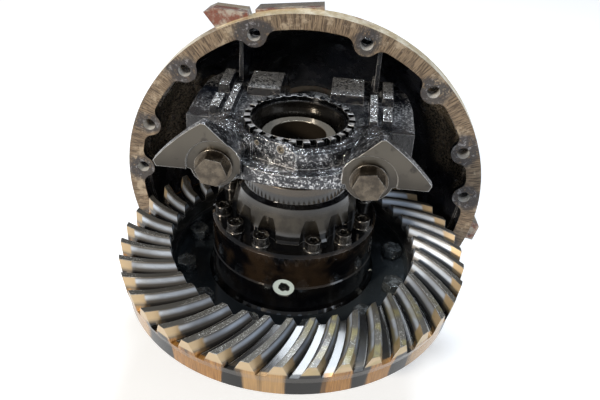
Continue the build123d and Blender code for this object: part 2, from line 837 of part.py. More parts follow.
side_bearing = bearing_size(hub_radius, saddle_bore, 27.0, 24)
head_bearing = bearing_size(head_journal, 70.0, 36.0, 15)
tail_bearing = bearing_size(tail_journal, 60.0, 32.0, 14)
taper_bearing(
    side_bearing,
    (0, ring_axis_y, hub_shoulder_z),
    (1, 0, 0),
    (0, 0, 1),
    bearing_names("side_bearing", "_upper"),
)
taper_bearing(
    side_bearing,
    (0, ring_axis_y, below(hub_shoulder_z)),
    (1, 0, 0),
    (0, 0, -1),
    bearing_names("side_bearing", "_lower"),
)
taper_bearing(
    head_bearing, (0, head_bearing_y, pinion_z), (1, 0, 0), (0, 1, 0), bearing_names("pinion_head_bearing")
)
taper_bearing(
    tail_bearing, (0, tail_bearing_y, pinion_z), (1, 0, 0), (0, -1, 0), bearing_names("pinion_tail_bearing")
)

# The pinion's nose runs in a cylindrical roller bearing held by the housing's bridge.
pilot_y = 24.0
pilot_width = 18.0
pilot_inner = 26.0
pilot_outer = 33.0
pilot_outside = 39.0
with BuildPart() as pilot_inner_ring:
    with BuildSketch(station(pilot_y)):
        Circle(pilot_inner)
        Circle(nose_radius, mode=Mode.SUBTRACT)
    extrude(amount=pilot_width)
finish_part(pilot_inner_ring.part, "pilot_bearing_inner_ring")
with BuildPart() as pilot_outer_ring:
    with BuildSketch(station(pilot_y)):
        Circle(pilot_outside)
        Circle(pilot_outer, mode=Mode.SUBTRACT)
    extrude(amount=pilot_width)
finish_part(pilot_outer_ring.part, "pilot_bearing_outer_ring")
pilot_roller = (pilot_outer - pilot_inner) / 2 - roller_gap
with BuildPart() as pilot_rollers:
    with BuildSketch(station(pilot_y + 3)):
        with PolarLocations((pilot_outer + pilot_inner) / 2, 18):
            Circle(pilot_roller)
    extrude(amount=pilot_width - 6)
finish_part(pilot_rollers.part, "pilot_bearing_rollers")
with BuildPart() as pilot_cage:
    with BuildSketch(station(pilot_y + 1)):
        Circle((pilot_outer + pilot_inner) / 2 + 1.2)
        Circle((pilot_outer + pilot_inner) / 2 - 1.2, mode=Mode.SUBTRACT)
    extrude(amount=pilot_width - 2)
    with BuildSketch(station(pilot_y + 2.8)):
        with PolarLocations((pilot_outer + pilot_inner) / 2, 18):
            Circle(pilot_roller + 0.2)
    extrude(amount=pilot_width - 5.6, mode=Mode.SUBTRACT)
finish_part(pilot_cage.part, "pilot_bearing_cage")

# ---------------------------------------------------------------- pinion cartridge and what it carries
cartridge_bolt_circle = 98.0
cartridge_bolt_count = 8
cartridge_pilot = 78.0
shim_thickness = 1.0
barrel_face_y = cartridge_face_y - shim_thickness
with BuildPart() as cartridge:
    with BuildSketch(pinion_section):
        outline(
            (70.0, 132),
            (cartridge_pilot - 1, 132),
            (cartridge_pilot, 133),
            (cartridge_pilot, cartridge_face_y),
            (110, cartridge_face_y),
            (112, cartridge_face_y + 2),
            (112, cartridge_face_y + 18),
            (109, cartridge_face_y + 21),
            (88, cartridge_face_y + 21),
            (82, cartridge_face_y + 26),
            (74, 256),
            (70, 282),
            (68, 284),
            (50, 284),
            (50, 267),
            (60.0, 265),
            (60.0, tail_bearing_y - tail_bearing["width"]),
            (50, tail_bearing_y - tail_bearing["width"]),
            (50, 200),
            (56, head_bearing_y + head_bearing["width"]),
            (70.0, head_bearing_y + head_bearing["width"]),
        )
    revolve(axis=pinion_axis)
    with BuildSketch(station(cartridge_face_y)):
        with PolarLocations(cartridge_bolt_circle, cartridge_bolt_count, start_angle=22.5):
            Circle(6.6)
    extrude(amount=30, mode=Mode.SUBTRACT)
finish_part(cartridge.part, "pinion_cartridge")

with BuildPart() as shim:
    with BuildSketch(station(barrel_face_y)):
        Circle(111)
        Circle(cartridge_pilot + 1, mode=Mode.SUBTRACT)
        with PolarLocations(cartridge_bolt_circle, cartridge_bolt_count, start_angle=22.5):
            Circle(7, mode=Mode.SUBTRACT)
    extrude(amount=shim_thickness)
finish_part(shim.part, "cartridge_shim")

with BuildPart() as cartridge_bolts:
    with BuildSketch(station(160)):
        with PolarLocations(cartridge_bolt_circle, cartridge_bolt_count, start_angle=22.5):
            Circle(5.95)
    extrude(amount=cartridge_face_y + 21 - 160)
    with BuildSketch(station(cartridge_face_y + 21)):
        with PolarLocations(cartridge_bolt_circle, cartridge_bolt_count, start_angle=22.5):
            Circle(10)
    extrude(amount=1.5)
    with BuildSketch(station(cartridge_face_y + 22.5)):
        with PolarLocations(cartridge_bolt_circle, cartridge_bolt_count, start_angle=22.5):
            RegularPolygon(9, 6, major_radius=False)
    extrude(amount=7.5)
finish_part(cartridge_bolts.part, "cartridge_bolts")

with BuildPart() as bearing_spacer:
    with BuildSketch(pinion_section):
        outline(
            (33.2, spacer_y),
            (38, spacer_y),
            (36, spacer_y + 14),
            (36, 214),
            (34, 228),
            (34, tail_bearing_y - tail_bearing["width"] + 1),
            (30.1, tail_bearing_y - tail_bearing["width"] + 1),
            (30.1, spacer_y + 5),
            (33.2, spacer_y + 3),
        )
    revolve(axis=pinion_axis)
finish_part(bearing_spacer.part, "bearing_spacer")

drive_hub_radius = 38.0
with BuildPart() as oil_seal:
    with BuildSketch(pinion_section):
        outline(
            (50, 269),
            (50, 281),
            (43, 281),
            (drive_hub_radius + 0.3, 277),
            (drive_hub_radius + 0.3, 275.5),
            (42, 272),
            (42, 269),
        )
    revolve(axis=pinion_axis)
finish_part(oil_seal.part, "oil_seal")

with BuildPart() as drive_flange:
    with BuildSketch(pinion_section):
        outline(
            (tail_journal + 0.1, 264),
            (drive_hub_radius, 264),
            (drive_hub_radius, 292),
            (52, drive_flange_y),
            (drive_flange_radius - 2, drive_flange_y),
            (drive_flange_radius, drive_flange_y + 2),
            (drive_flange_radius, drive_flange_y + 14),
            (drive_flange_radius - 1.5, drive_flange_y + 15.5),
            (60, drive_flange_y + 15.5),
            (60, drive_flange_y + 13),
            (50, drive_flange_y + 13),
            (46, drive_flange_y + 4),
            (spline_radius, drive_flange_y + 4),
            (spline_radius, 268.5),
            (tail_journal + 0.1, 268.5),
        )
    revolve(axis=pinion_axis)
    with BuildSketch(station(drive_flange_y - 5)):
        with PolarLocations(drive_bolt_circle, 8, start_angle=22.5):
            Circle(7)
    extrude(amount=30, mode=Mode.SUBTRACT)
finish_part(drive_flange.part, "drive_flange")

with BuildPart() as dust_deflector:
    with BuildSketch(pinion_section):
        outline(
            (drive_hub_radius, 286.5),
            (drive_hub_radius + 10, 286.5),
            (74, 289.5),
            (78, 282),
            (79.5, 282.8),
            (75, 291.5),
            (drive_hub_radius + 10, 288.5),
            (drive_hub_radius, 288.5),
        )
    revolve(axis=pinion_axis)
finish_part(dust_deflector.part, "dust_deflector")

with BuildPart() as nut_washer:
    with BuildSketch(station(drive_flange_y + 4)):
        Circle(34)
        Circle(spline_radius + 0.1, mode=Mode.SUBTRACT)
    extrude(amount=4)
finish_part(nut_washer.part, "pinion_nut_washer")
with BuildPart() as pinion_nut:
    with BuildSketch(station(drive_flange_y + 8)):
        RegularPolygon(30, 6, major_radius=False)
        Circle(20, mode=Mode.SUBTRACT)
    extrude(amount=20)
    with BuildSketch(station(drive_flange_y + 28)):
        Circle(27)
        Circle(20, mode=Mode.SUBTRACT)
    extrude(amount=4)
finish_part(pinion_nut.part, "pinion_nut")

# ---------------------------------------------------------------- bearing caps, adjusters and their fasteners
lock_normal = math.radians(-112)
crown_slots = 26
crown_top_z = 154.0
crown_base_z = 145.9
adjuster_base_z = hub_shoulder_z + side_bearing["width"]
lock_face = 70.0
lock_plane = Plane(
    origin=(lock_face * math.cos(lock_normal), ring_axis_y + lock_face * math.sin(lock_normal), 0),
    x_dir=(-math.sin(lock_normal), math.cos(lock_normal), 0),
    z_dir=(math.cos(lock_normal), math.sin(lock_normal), 0),
)
lock_pins_s = (14.4, -14.7)
lock_pin_z = 147.6

# The upper cap's wings: flat in front, thinner towards their outer edge.
wing_edge = 9.0
wing_slope = 0.45
with BuildPart() as wings:
    for side in (-1, 1):
        with BuildSketch(joint_face.offset(-wing_face_y)):
            with BuildLine():
                Polyline(
                    (side * 148, 126.6),
                    (side * 145, 119.8),
                    (side * 112, 119.8),
                    (side * 84, 112),
                    (side * 54, 118),
                    (side * 54, 139),
                    (side * 62, 147),
                    (side * 90, 174),
                    (side * 95, 175),
                )
                ThreePointArc((side * 95, 175), (side * 123.5, 152.6), (side * 148, 126.6))
            make_face()
        extrude(amount=-wing_thickness)
        outward = math.sqrt(0.5)
        behind = Plane(
            origin=(side * 197 * outward, wing_face_y + wing_edge, 197 * outward),
            z_dir=(side * wing_slope * outward, 1, wing_slope * outward),
        )
        with BuildSketch(behind):
            Rectangle(400, 400)
        extrude(amount=80, mode=Mode.SUBTRACT)

with BuildPart() as bearing_cap:
    # The arch over the bearing, and the collar round the adjuster.
    with BuildSketch(level(cap_bottom_z)):
        Circle(arch_radius)
        with Locations((0, arch_radius)):
            Rectangle(3 * arch_radius, 2 * arch_radius, mode=Mode.SUBTRACT)
    extrude(amount=arch_top_z - cap_bottom_z)
    with BuildSketch(level(arch_top_z)):
        Circle(collar_radius)
        with Locations((0, arch_radius)):
            Rectangle(3 * arch_radius, 2 * arch_radius, mode=Mode.SUBTRACT)
    extrude(amount=collar_top_z - arch_top_z)
    collar_edges = edges().filter_by(GeomType.CIRCLE).group_by(Axis.Z)[-1]
    chamfer(collar_edges, 2.5)
    # A sloped underside leaves the strip seen in front, deeper towards the bolts.
    with BuildSketch(Plane(origin=(0, ring_axis_y - 60, 0), z_dir=(0, -1, 0), x_dir=(1, 0, 0))):
        with BuildLine():
            Polyline((-70, 95), (70, 95))
            Line((70, 95), (58, 109))
            ThreePointArc((58, 109), (0, 115.2), (-58, 109))
            Line((-58, 109), (-70, 95))
        make_face()
    extrude(amount=60, mode=Mode.SUBTRACT)
    # Two bolt bosses with a wing outside each.
    add(wings.part)
    for side in (-1, 1):
        with BuildSketch(joint_face.offset(-ring_axis_y)):
            with Locations((side * cap_bolt_x, cap_bolt_z)):
                Circle(26)
        extrude(amount=ring_axis_y - wing_face_y)
    # The flat pad that holds the lock pins.
    with BuildSketch(lock_plane):
        with BuildLine():
            Polyline(
                (-19.5, arch_top_z),
                (33.3, arch_top_z),
                (33.3, 146.5),
                (20, 154.1),
                (-19.5, 154.1),
                (-19.5, arch_top_z),
            )
        make_face()
    extrude(amount=-9)
    with BuildSketch(lock_plane):
        with Locations((6.9, arch_top_z + 20)):
            Rectangle(52.8, 40)
    extrude(amount=30, mode=Mode.SUBTRACT)
    # Bores: the bearing's seat, the crown's recess, the bolts and their spotfaces.
    with BuildSketch(level(90)):
        Circle(saddle_bore)
    extrude(amount=crown_base_z - 0.8 - 90, mode=Mode.SUBTRACT)
    with BuildSketch(level(crown_base_z - 0.8)):
        Circle(crown_bore)
    extrude(amount=20, mode=Mode.SUBTRACT)
    for side in (-1, 1):
        with BuildSketch(joint_face.offset(-spotface_y)):
            with Locations((side * cap_bolt_x, cap_bolt_z)):
                Circle(30)
        extrude(amount=20, mode=Mode.SUBTRACT)
        with BuildSketch(joint_face.offset(-ring_axis_y)):
            with Locations((side * cap_bolt_x, cap_bolt_z)):
                Circle(10.5)
        extrude(amount=100, mode=Mode.SUBTRACT)
    with BuildSketch(lock_plane):
        with Locations((lock_pins_s[0], lock_pin_z)):
            Circle(4.7)
        with Locations((lock_pins_s[1], lock_pin_z)):
            Circle(3)
    extrude(amount=-12, mode=Mode.SUBTRACT)
finish_part(bearing_cap.part, "bearing_cap_upper")

# The lower cap is the upper one's mirror image without the wings.
with BuildPart() as lower_cap:
    add(mirrored(bearing_cap.part))
    with BuildSketch(level(below(cap_bottom_z - 10))):
        with Locations((0, -20)):
            Rectangle(2 * (cap_bolt_x + 26), 200)
    extrude(amount=-(cap_bolt_z + 26 - cap_bottom_z + 10), mode=Mode.INTERSECT)
finish_part(lower_cap.part, "bearing_cap_lower")

with BuildPart() as adjuster_ring:
    with BuildSketch(differential_section):
        outline(
            (50, adjuster_base_z + 4),
            (52, adjuster_base_z),
            (saddle_bore - 1, adjuster_base_z),
            (saddle_bore, adjuster_base_z + 1),
            (saddle_bore, crown_base_z),
            (63.6, crown_base_z),
            (63.6, crown_top_z - 0.8),
            (62.8, crown_top_z),
            (56, crown_top_z),
            (55.4, crown_top_z - 0.8),
            (55.4, crown_base_z + 0.6),
            (54, 149.6),
            (51, 149.6),
            (50, 148.6),
        )
    revolve(axis=differential_axis)
    slot_start = math.degrees(lock_normal)
    with BuildSketch(level(crown_base_z)):
        with PolarLocations(60, crown_slots, start_angle=slot_start):
            Rectangle(8.8, 7.2)
    extrude(amount=20, mode=Mode.SUBTRACT)
finish_part(adjuster_ring.part, "adjuster_ring_upper")
finish_part(mirrored(adjuster_ring.part), "adjuster_ring_lower")

with BuildPart() as lock_pins:
    with BuildSketch(lock_plane):
        with Locations((lock_pins_s[0], lock_pin_z)):
            Circle(4.65)
        with Locations((lock_pins_s[1], lock_pin_z)):
            Circle(2.95)
    extrude(amount=-5.6)
    with BuildSketch(lock_plane):
        with Locations((lock_pins_s[0], lock_pin_z)):
            Circle(2.6)
        with Locations((lock_pins_s[1], lock_pin_z)):
            Circle(1.3)
    extrude(amount=-3, mode=Mode.SUBTRACT)
    with BuildSketch(lock_plane.offset(-5.6)):
        with Locations((lock_pins_s[0], lock_pin_z), (lock_pins_s[1], lock_pin_z)):
            Circle(1.4)
    extrude(amount=-5)
finish_part(lock_pins.part + mirrored(lock_pins.part), "adjuster_lock_pins")

bolt_head_y = -190.0
with BuildPart() as cap_bolts:
    for side in (-1, 1):
        spot = (side * cap_bolt_x, cap_bolt_z)
        with BuildSketch(joint_face.offset(-spotface_y + 4)):
            with Locations(spot):
                RegularPolygon(15, 6, major_radius=False, rotation=8 * side)
        extrude(amount=-bolt_head_y + spotface_y - 4)
        with BuildSketch(joint_face.offset(40)):
            with Locations(spot):
                Circle(9.95)
        extrude(amount=-spotface_y + 4 - 40)
finish_part(cap_bolts.part + mirrored(cap_bolts.part), "cap_bolts")
with BuildPart() as cap_washers:
    for side in (-1, 1):
        with BuildSketch(joint_face.offset(-spotface_y)):
            with Locations((side * cap_bolt_x, cap_bolt_z)):
                Circle(20.5)
                Circle(10.6, mode=Mode.SUBTRACT)
        extrude(amount=4)
finish_part(cap_washers.part + mirrored(cap_washers.part), "cap_washers")

# ---------------------------------------------------------------- carrier housing
flange_holes = []
for flange_bolt_angle in flange_bolt_angles:
    for side in (-1, 1):
        lean = math.radians(side * flange_bolt_angle)
        flange_holes.append((flange_bolt_circle * math.sin(lean), flange_bolt_circle * math.cos(lean)))


def bowl_profile(depth):
    """The bowl's section from rim to pole, at a depth into its wall: (radius about Y, y) corners."""
    share = depth / bowl_wall
    corners = []
    for (inner_x, inner_y), (outer_x, outer_y) in zip(bowl_inside, bowl_outside):
        corners.append((inner_x + (outer_x - inner_x) * share, inner_y + (outer_y - inner_y) * share))
    return corners


# One bearing pedestal: two arms that run from the cap's seat back into the bowl, open between them.
arm_half_width = 131.0
arm_slope_y = 50.0
with BuildPart() as pedestal:
    with BuildSketch(Plane.XY.offset(cap_bottom_z)):
        with Locations((0, ring_axis_y)):
            Circle(collar_radius + 6)
        Polygon(
            (-arm_half_width, ring_axis_y),
            (arm_half_width, ring_axis_y),
            (arm_half_width, -30),
            (126, 12),
            (110, 46),
            (106, 160),
            (30, 160),
            (30, ring_axis_y + 60),
            (-30, ring_axis_y + 60),
            (-30, 160),
            (-106, 160),
            (-110, 46),
            (-126, 12),
            (-arm_half_width, -30),
            align=None,
        )
        with Locations((0, ring_axis_y - 100)):
            Rectangle(400, 200, mode=Mode.SUBTRACT)
    extrude(amount=arm_top_z - cap_bottom_z)
    # The rear half of the adjuster's collar.
    with BuildSketch(level(cap_bottom_z)):
        Circle(collar_radius)
        with Locations((0, -200)):
            Rectangle(400, 400, mode=Mode.SUBTRACT)
    extrude(amount=collar_top_z - cap_bottom_z)
    collar_rim = edges().filter_by(GeomType.CIRCLE).group_by(Axis.Z)[-1]
    chamfer(collar_rim, 2.5)
    # Raised cast pads and ribs on the arms.
    for side in (-1, 1):
        for near_x, far_x, near_y, far_y in (
            (30, 72, -27, 28),
            (93, 108, -26, 26),
            (78, 89, -93, -16),
            (80, 92, 30, 42),
            (93, 106, -89, -50),
        ):
            with BuildSketch(Plane.XY.offset(arm_top_z - 1)):
                with Locations((side * (near_x + far_x) / 2, (near_y + far_y) / 2)):
                    Rectangle(far_x - near_x, far_y - near_y)
            extrude(amount=pad_top_z - arm_top_z + 1, taper=6)
    # Behind the pads the arms slope down to the bowl.
    with BuildSketch(Plane.YZ):
        Polygon((arm_slope_y, 170), (140, 170), (140, 70), (arm_slope_y, arm_top_z), align=None)
    extrude(amount=200, both=True, mode=Mode.SUBTRACT)

bridge_near_y = 22.0
bridge_far_y = 44.0
with BuildPart() as housing_envelope:
    with BuildSketch(Plane.XY):
        Polygon(
            (0, ring_axis_y),
            (opening_radius, ring_axis_y),
            (opening_radius, 12),
            (225, 12),
            *bowl_profile(bowl_wall / 2),
            (0, 147),
            align=None,
        )
    revolve(axis=Axis.Y)

with BuildPart() as inside_webs:
    add(pedestal.part)
    add(mirror(pedestal.part, about=spider_plane))
    # The bridge that holds the pinion's pilot bearing between the pedestals.
    with BuildSketch(joint_face.offset(-bridge_near_y)):
        with Locations((0, pinion_z)):
            Circle(50)
        Polygon((-34, 40), (34, 40), (66, cap_bottom_z + 6), (-66, cap_bottom_z + 6), align=None)
    extrude(amount=bridge_near_y - bridge_far_y)
    # Thin ribs that stiffen the joint flange above and below the arms.
    for side in (-1, 1):
        for low, high in ((arm_top_z - 3, 216), (-216, below(arm_top_z - 3))):
            with BuildSketch(Plane.XY.offset(low)):
                with Locations((side * 86, 70)):
                    Rectangle(5, 110)
            extrude(amount=high - low)
    add(housing_envelope.part, mode=Mode.INTERSECT)

barrel_radius = 112.0
barrel_inner_y = 129.0
rib_count = 8
with BuildPart() as carrier_housing:
    # The bowl's wall, turned about the joint face's axis.
    with BuildSketch(Plane.XY):
        outline(*bowl_profile(0), *reversed(bowl_profile(bowl_wall)))
    revolve(axis=Axis.Y)
    # The barrel that takes the pinion cartridge, and ribs from it to the flange.
    with BuildSketch(pinion_section):
        outline(
            (cartridge_pilot - 6, barrel_inner_y),
            (92, barrel_inner_y),
            (96, barrel_inner_y + 6),
            (100, 150),
            (104, 160),
            (barrel_radius, 170),
            (barrel_radius, barrel_face_y - 1.5),
            (barrel_radius - 1.5, barrel_face_y),
            (cartridge_pilot - 6, barrel_face_y),
        )
    revolve(axis=pinion_axis)
    for turn in range(rib_count):
        rib_plane = Plane.XY.rotated((0, 360 / rib_count * turn + 22.5, 0))
        with BuildSketch(rib_plane):
            outline((92, 170), *reversed(bowl_profile(bowl_wall / 2)[:-1]), (234, 18), (234, 42), (100, 178))
        extrude(amount=6, both=True)
    # Lugs on the outside of the bowl.
    for lug_angle, lug_reach, lug_width in ((103, 257, 24), (-6.6, 242, 84), (180, 250, 60)):
        lean = math.radians(lug_angle)
        middle = (lug_reach + 224) / 2
        with BuildSketch(joint_face.offset(-flange_thickness + 6)):
            with Locations(
                Location((middle * math.sin(lean), middle * math.cos(lean), 0), (0, 0, -lug_angle))
            ):
                Rectangle(lug_width, lug_reach - 224)
        extrude(amount=-30, taper=4)
    with BuildSketch(joint_face.offset(-8)):
        Polygon((-111, 204), (-132, 230), (-120, 236), (-78, 234), (-74, 222), align=None)
    extrude(amount=-30, taper=4)
    fill_boss = Plane(origin=(-150, 94, 112), z_dir=(-150, 94 - ring_axis_y, 112))
    with BuildSketch(fill_boss.offset(-13)):
        Circle(24)
    extrude(amount=29)
    # The joint flange, with a lobe round each bolt hole.
    with BuildSketch(joint_face):
        Circle(flange_radius)
    extrude(amount=-flange_thickness)
    with BuildSketch(joint_face.offset(1)) as window:
        Circle(window_radius)
        with Locations(*flange_holes):
            Circle(lobe_radius, mode=Mode.SUBTRACT)
        fillet(window.vertices(), 13)
    extrude(amount=-flange_thickness - 1.5, mode=Mode.SUBTRACT)
    # The pedestals and the pilot bridge stand inside the bowl.
    add(inside_webs.part)
    # Bores and holes.
    with BuildSketch(station(barrel_inner_y - 20)):
        Circle(cartridge_pilot)
    extrude(amount=120, mode=Mode.SUBTRACT)
    with BuildSketch(station(bridge_near_y - 1)):
        Circle(34)
    extrude(amount=30, mode=Mode.SUBTRACT)
    with BuildSketch(station(pilot_y)):
        Circle(pilot_outside)
    extrude(amount=30, mode=Mode.SUBTRACT)
    with BuildSketch(level(90)):
        Circle(saddle_bore)
    extrude(amount=crown_base_z - 0.8 - 90, mode=Mode.SUBTRACT)
    with BuildSketch(level(crown_base_z - 0.8)):
        Circle(crown_bore)
    extrude(amount=20, mode=Mode.SUBTRACT)
    with BuildSketch(level(below(90))):
        Circle(saddle_bore)
    extrude(amount=-(crown_base_z - 0.8 - 90), mode=Mode.SUBTRACT)
    with BuildSketch(level(below(crown_base_z - 0.8))):
        Circle(crown_bore)
    extrude(amount=-20, mode=Mode.SUBTRACT)
    with BuildSketch(joint_face):
        with Locations(*flange_holes):
            Circle(flange_hole_radius)
    extrude(amount=-flange_thickness - 30, mode=Mode.SUBTRACT)
    for side in (-1, 1):
        for height in (cap_bolt_z, below(cap_bolt_z)):
            with BuildSketch(joint_face.offset(-ring_axis_y)):
                with Locations((side * cap_bolt_x, height)):
                    Circle(10)
            extrude(amount=-66, mode=Mode.SUBTRACT)
    with BuildSketch(station(barrel_face_y)):
        with PolarLocations(cartridge_bolt_circle, cartridge_bolt_count, start_angle=22.5):
            Circle(6)
    extrude(amount=-33, mode=Mode.SUBTRACT)
    with BuildSketch(fill_boss.offset(-60)):
        Circle(14)
    extrude(amount=90, mode=Mode.SUBTRACT)
finish_part(carrier_housing.part, "carrier_housing")

with BuildPart() as fill_plug:
    with BuildSketch(fill_boss.offset(-6)):
        Circle(13.95)
    extrude(amount=22)
    with BuildSketch(fill_boss.offset(16)):
        Circle(19)
    extrude(amount=3)
    with BuildSketch(fill_boss.offset(19)):
        RegularPolygon(11, 6, major_radius=False)
    extrude(amount=9)
finish_part(fill_plug.part, "fill_plug")
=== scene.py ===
import math

import bpy
from mathutils import Matrix, Vector


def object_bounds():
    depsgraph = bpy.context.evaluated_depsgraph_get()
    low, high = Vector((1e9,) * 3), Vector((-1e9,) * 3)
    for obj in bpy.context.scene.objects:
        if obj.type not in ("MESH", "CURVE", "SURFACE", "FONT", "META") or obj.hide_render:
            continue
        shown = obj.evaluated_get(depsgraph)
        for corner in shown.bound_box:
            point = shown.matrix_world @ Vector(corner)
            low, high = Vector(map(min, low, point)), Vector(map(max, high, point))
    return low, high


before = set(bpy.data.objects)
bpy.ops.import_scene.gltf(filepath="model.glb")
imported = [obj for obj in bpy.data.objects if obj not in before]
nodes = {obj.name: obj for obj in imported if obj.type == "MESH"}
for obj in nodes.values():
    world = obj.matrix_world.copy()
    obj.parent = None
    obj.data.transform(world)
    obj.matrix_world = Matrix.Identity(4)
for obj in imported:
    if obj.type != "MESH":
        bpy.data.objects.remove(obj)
cad_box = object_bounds()

AXLE_Y = -0.0955  # the differential axis, in front of the joint face
SPIDER_Z = -0.0149  # height of the spider's trunnions
FLANGE_RADIUS = 0.2404
BOWL_RADIUS = 0.230  # the bowl's outside is near an ellipsoid of this radius
BOWL_DEPTH = 0.152  # and of this depth
CASE_RADIUS = 0.100
RING_TIP = (0.215, -0.0204)  # radius and height of the ring gear's heel tips
RING_SLOPE = 0.173  # how fast its tips rise towards the middle
HOLE_CIRCLE = 0.2206
HOLE_WALL = 0.0082  # just outside a flange hole's radius
HOLE_ANGLES = (18, 45, 70, 87.5, 110, 135, 162)  # degrees from +Z, on both sides


# ---------------------------------------------------------------- a short way to write node graphs
class Graph:
    """A material's node tree. Every value may be a number, a colour or another node's output."""

    def __init__(self, name):
        self.material = bpy.data.materials.new(name)
        self.material.use_nodes = True
        self.tree = self.material.node_tree
        self.tree.nodes.clear()
        where = self.tree.nodes.new("ShaderNodeTexCoord")
        self.place = where.outputs["Object"]
        self.normal = where.outputs["Normal"]
        split = self.node("ShaderNodeSeparateXYZ", {0: self.place})
        self.x, self.y, self.z = split.outputs
        facing = self.node("ShaderNodeSeparateXYZ", {0: self.normal})
        self.nx, self.ny, self.nz = facing.outputs

    def node(self, kind, inputs=None, **settings):
        made = self.tree.nodes.new(kind)
        for key, value in settings.items():
            setattr(made, key, value)
        for key, value in (inputs or {}).items():
            if isinstance(value, bpy.types.NodeSocket):
                self.tree.links.new(value, made.inputs[key])
            elif isinstance(value, tuple) and made.inputs[key].type == "RGBA":
                made.inputs[key].default_value = (*value, 1.0)
            else:
                made.inputs[key].default_value = value
        return made

    def math(self, operation, a, b=0.0, clamp=False):
        return self.node("ShaderNodeMath", {0: a, 1: b}, operation=operation, use_clamp=clamp).outputs[0]

    def both(self, *masks):
        found = masks[0]
        for mask in masks[1:]:
            found = self.math("MULTIPLY", found, mask)
        return found

    def either(self, a, b):
        return self.math("MAXIMUM", a, b)

    def other(self, mask):
        return self.math("SUBTRACT", 1.0, mask)

    def step(self, value, low, high, out_low=0.0, out_high=1.0):
        """Goes smoothly from out_low to out_high as value goes from low to high."""
        made = self.node(
            "ShaderNodeMapRange",
            {0: value, 1: low, 2: high, 3: out_low, 4: out_high},
            interpolation_type="SMOOTHSTEP",
        )
        return made.outputs[0]

    def radius(self, a, b, centre_b=0.0):
        shifted = self.math("SUBTRACT", b, centre_b)
        total = self.math("ADD", self.math("MULTIPLY", a, a), self.math("MULTIPLY", shifted, shifted))
        return self.math("SQRT", total)

    def axle_radius(self):
        return self.radius(self.x, self.y, AXLE_Y)

    def polar(self, angle_scale, radius_scale, height_scale):
        """Coordinates round the differential axis, so that marks run along or round it."""
        angle = self.math("ARCTAN2", self.math("SUBTRACT", self.y, AXLE_Y), self.x)
        return self.node(
            "ShaderNodeCombineXYZ",
            {
                0: self.math("MULTIPLY", angle, angle_scale),
                1: self.math("MULTIPLY", self.axle_radius(), radius_scale),
                2: self.math("MULTIPLY", self.z, height_scale),
            },
        ).outputs[0]

    def noise(self, scale, detail=4.0, roughness=0.6, place=None, distortion=0.0):
        made = self.node(
            "ShaderNodeTexNoise",
            {
                "Vector": place or self.place,
                "Scale": scale,
                "Detail": detail,
                "Roughness": roughness,
                "Distortion": distortion,
            },
        )
        return made.outputs[0]

    def mix(self, share, a, b):
        made = self.node("ShaderNodeMix", {0: share, 6: a, 7: b}, data_type="RGBA")
        return made.outputs[2]

    def blend(self, share, a, b):
        return self.node("ShaderNodeMix", {0: share, 2: a, 3: b}, data_type="FLOAT").outputs[0]

    def edge(self, radius, low=0.02, high=0.25):
        """1 along sharp edges, where handling has worn and polished them."""
        rounded = self.node("ShaderNodeBevel", {"Radius": radius}, samples=6).outputs[0]
        flat = self.node("ShaderNodeNewGeometry").outputs["Normal"]
        same = self.node("ShaderNodeVectorMath", {0: rounded, 1: flat}, operation="DOT_PRODUCT").outputs[1]
        return self.step(self.other(same), low, high)

    def bump(self, height, distance, strength=1.0, under=None):
        inputs = {"Height": height, "Distance": distance, "Strength": strength}
        if under:
            inputs["Normal"] = under
        return self.node("ShaderNodeBump", inputs).outputs[0]

    def rounded(self, radius):
        return self.node("ShaderNodeBevel", {"Radius": radius}, samples=6).outputs[0]

    def surface(self, color, roughness, metallic, normal=None, coat=0.0, coat_roughness=0.05, ior=1.5):
        inputs = {
            "Base Color": color,
            "Roughness": roughness,
            "Metallic": metallic,
            "Coat Weight": coat,
            "Coat Roughness": coat_roughness,
            "IOR": ior,
        }
        if normal:
            inputs["Normal"] = normal
        shader = self.node("ShaderNodeBsdfPrincipled", inputs)
        self.node("ShaderNodeOutputMaterial", {0: shader.outputs[0]})
        return self.material


def paint(material, *names):
    for name in names:
        mesh = nodes[name].data
        mesh.materials.clear()
        mesh.materials.append(material)


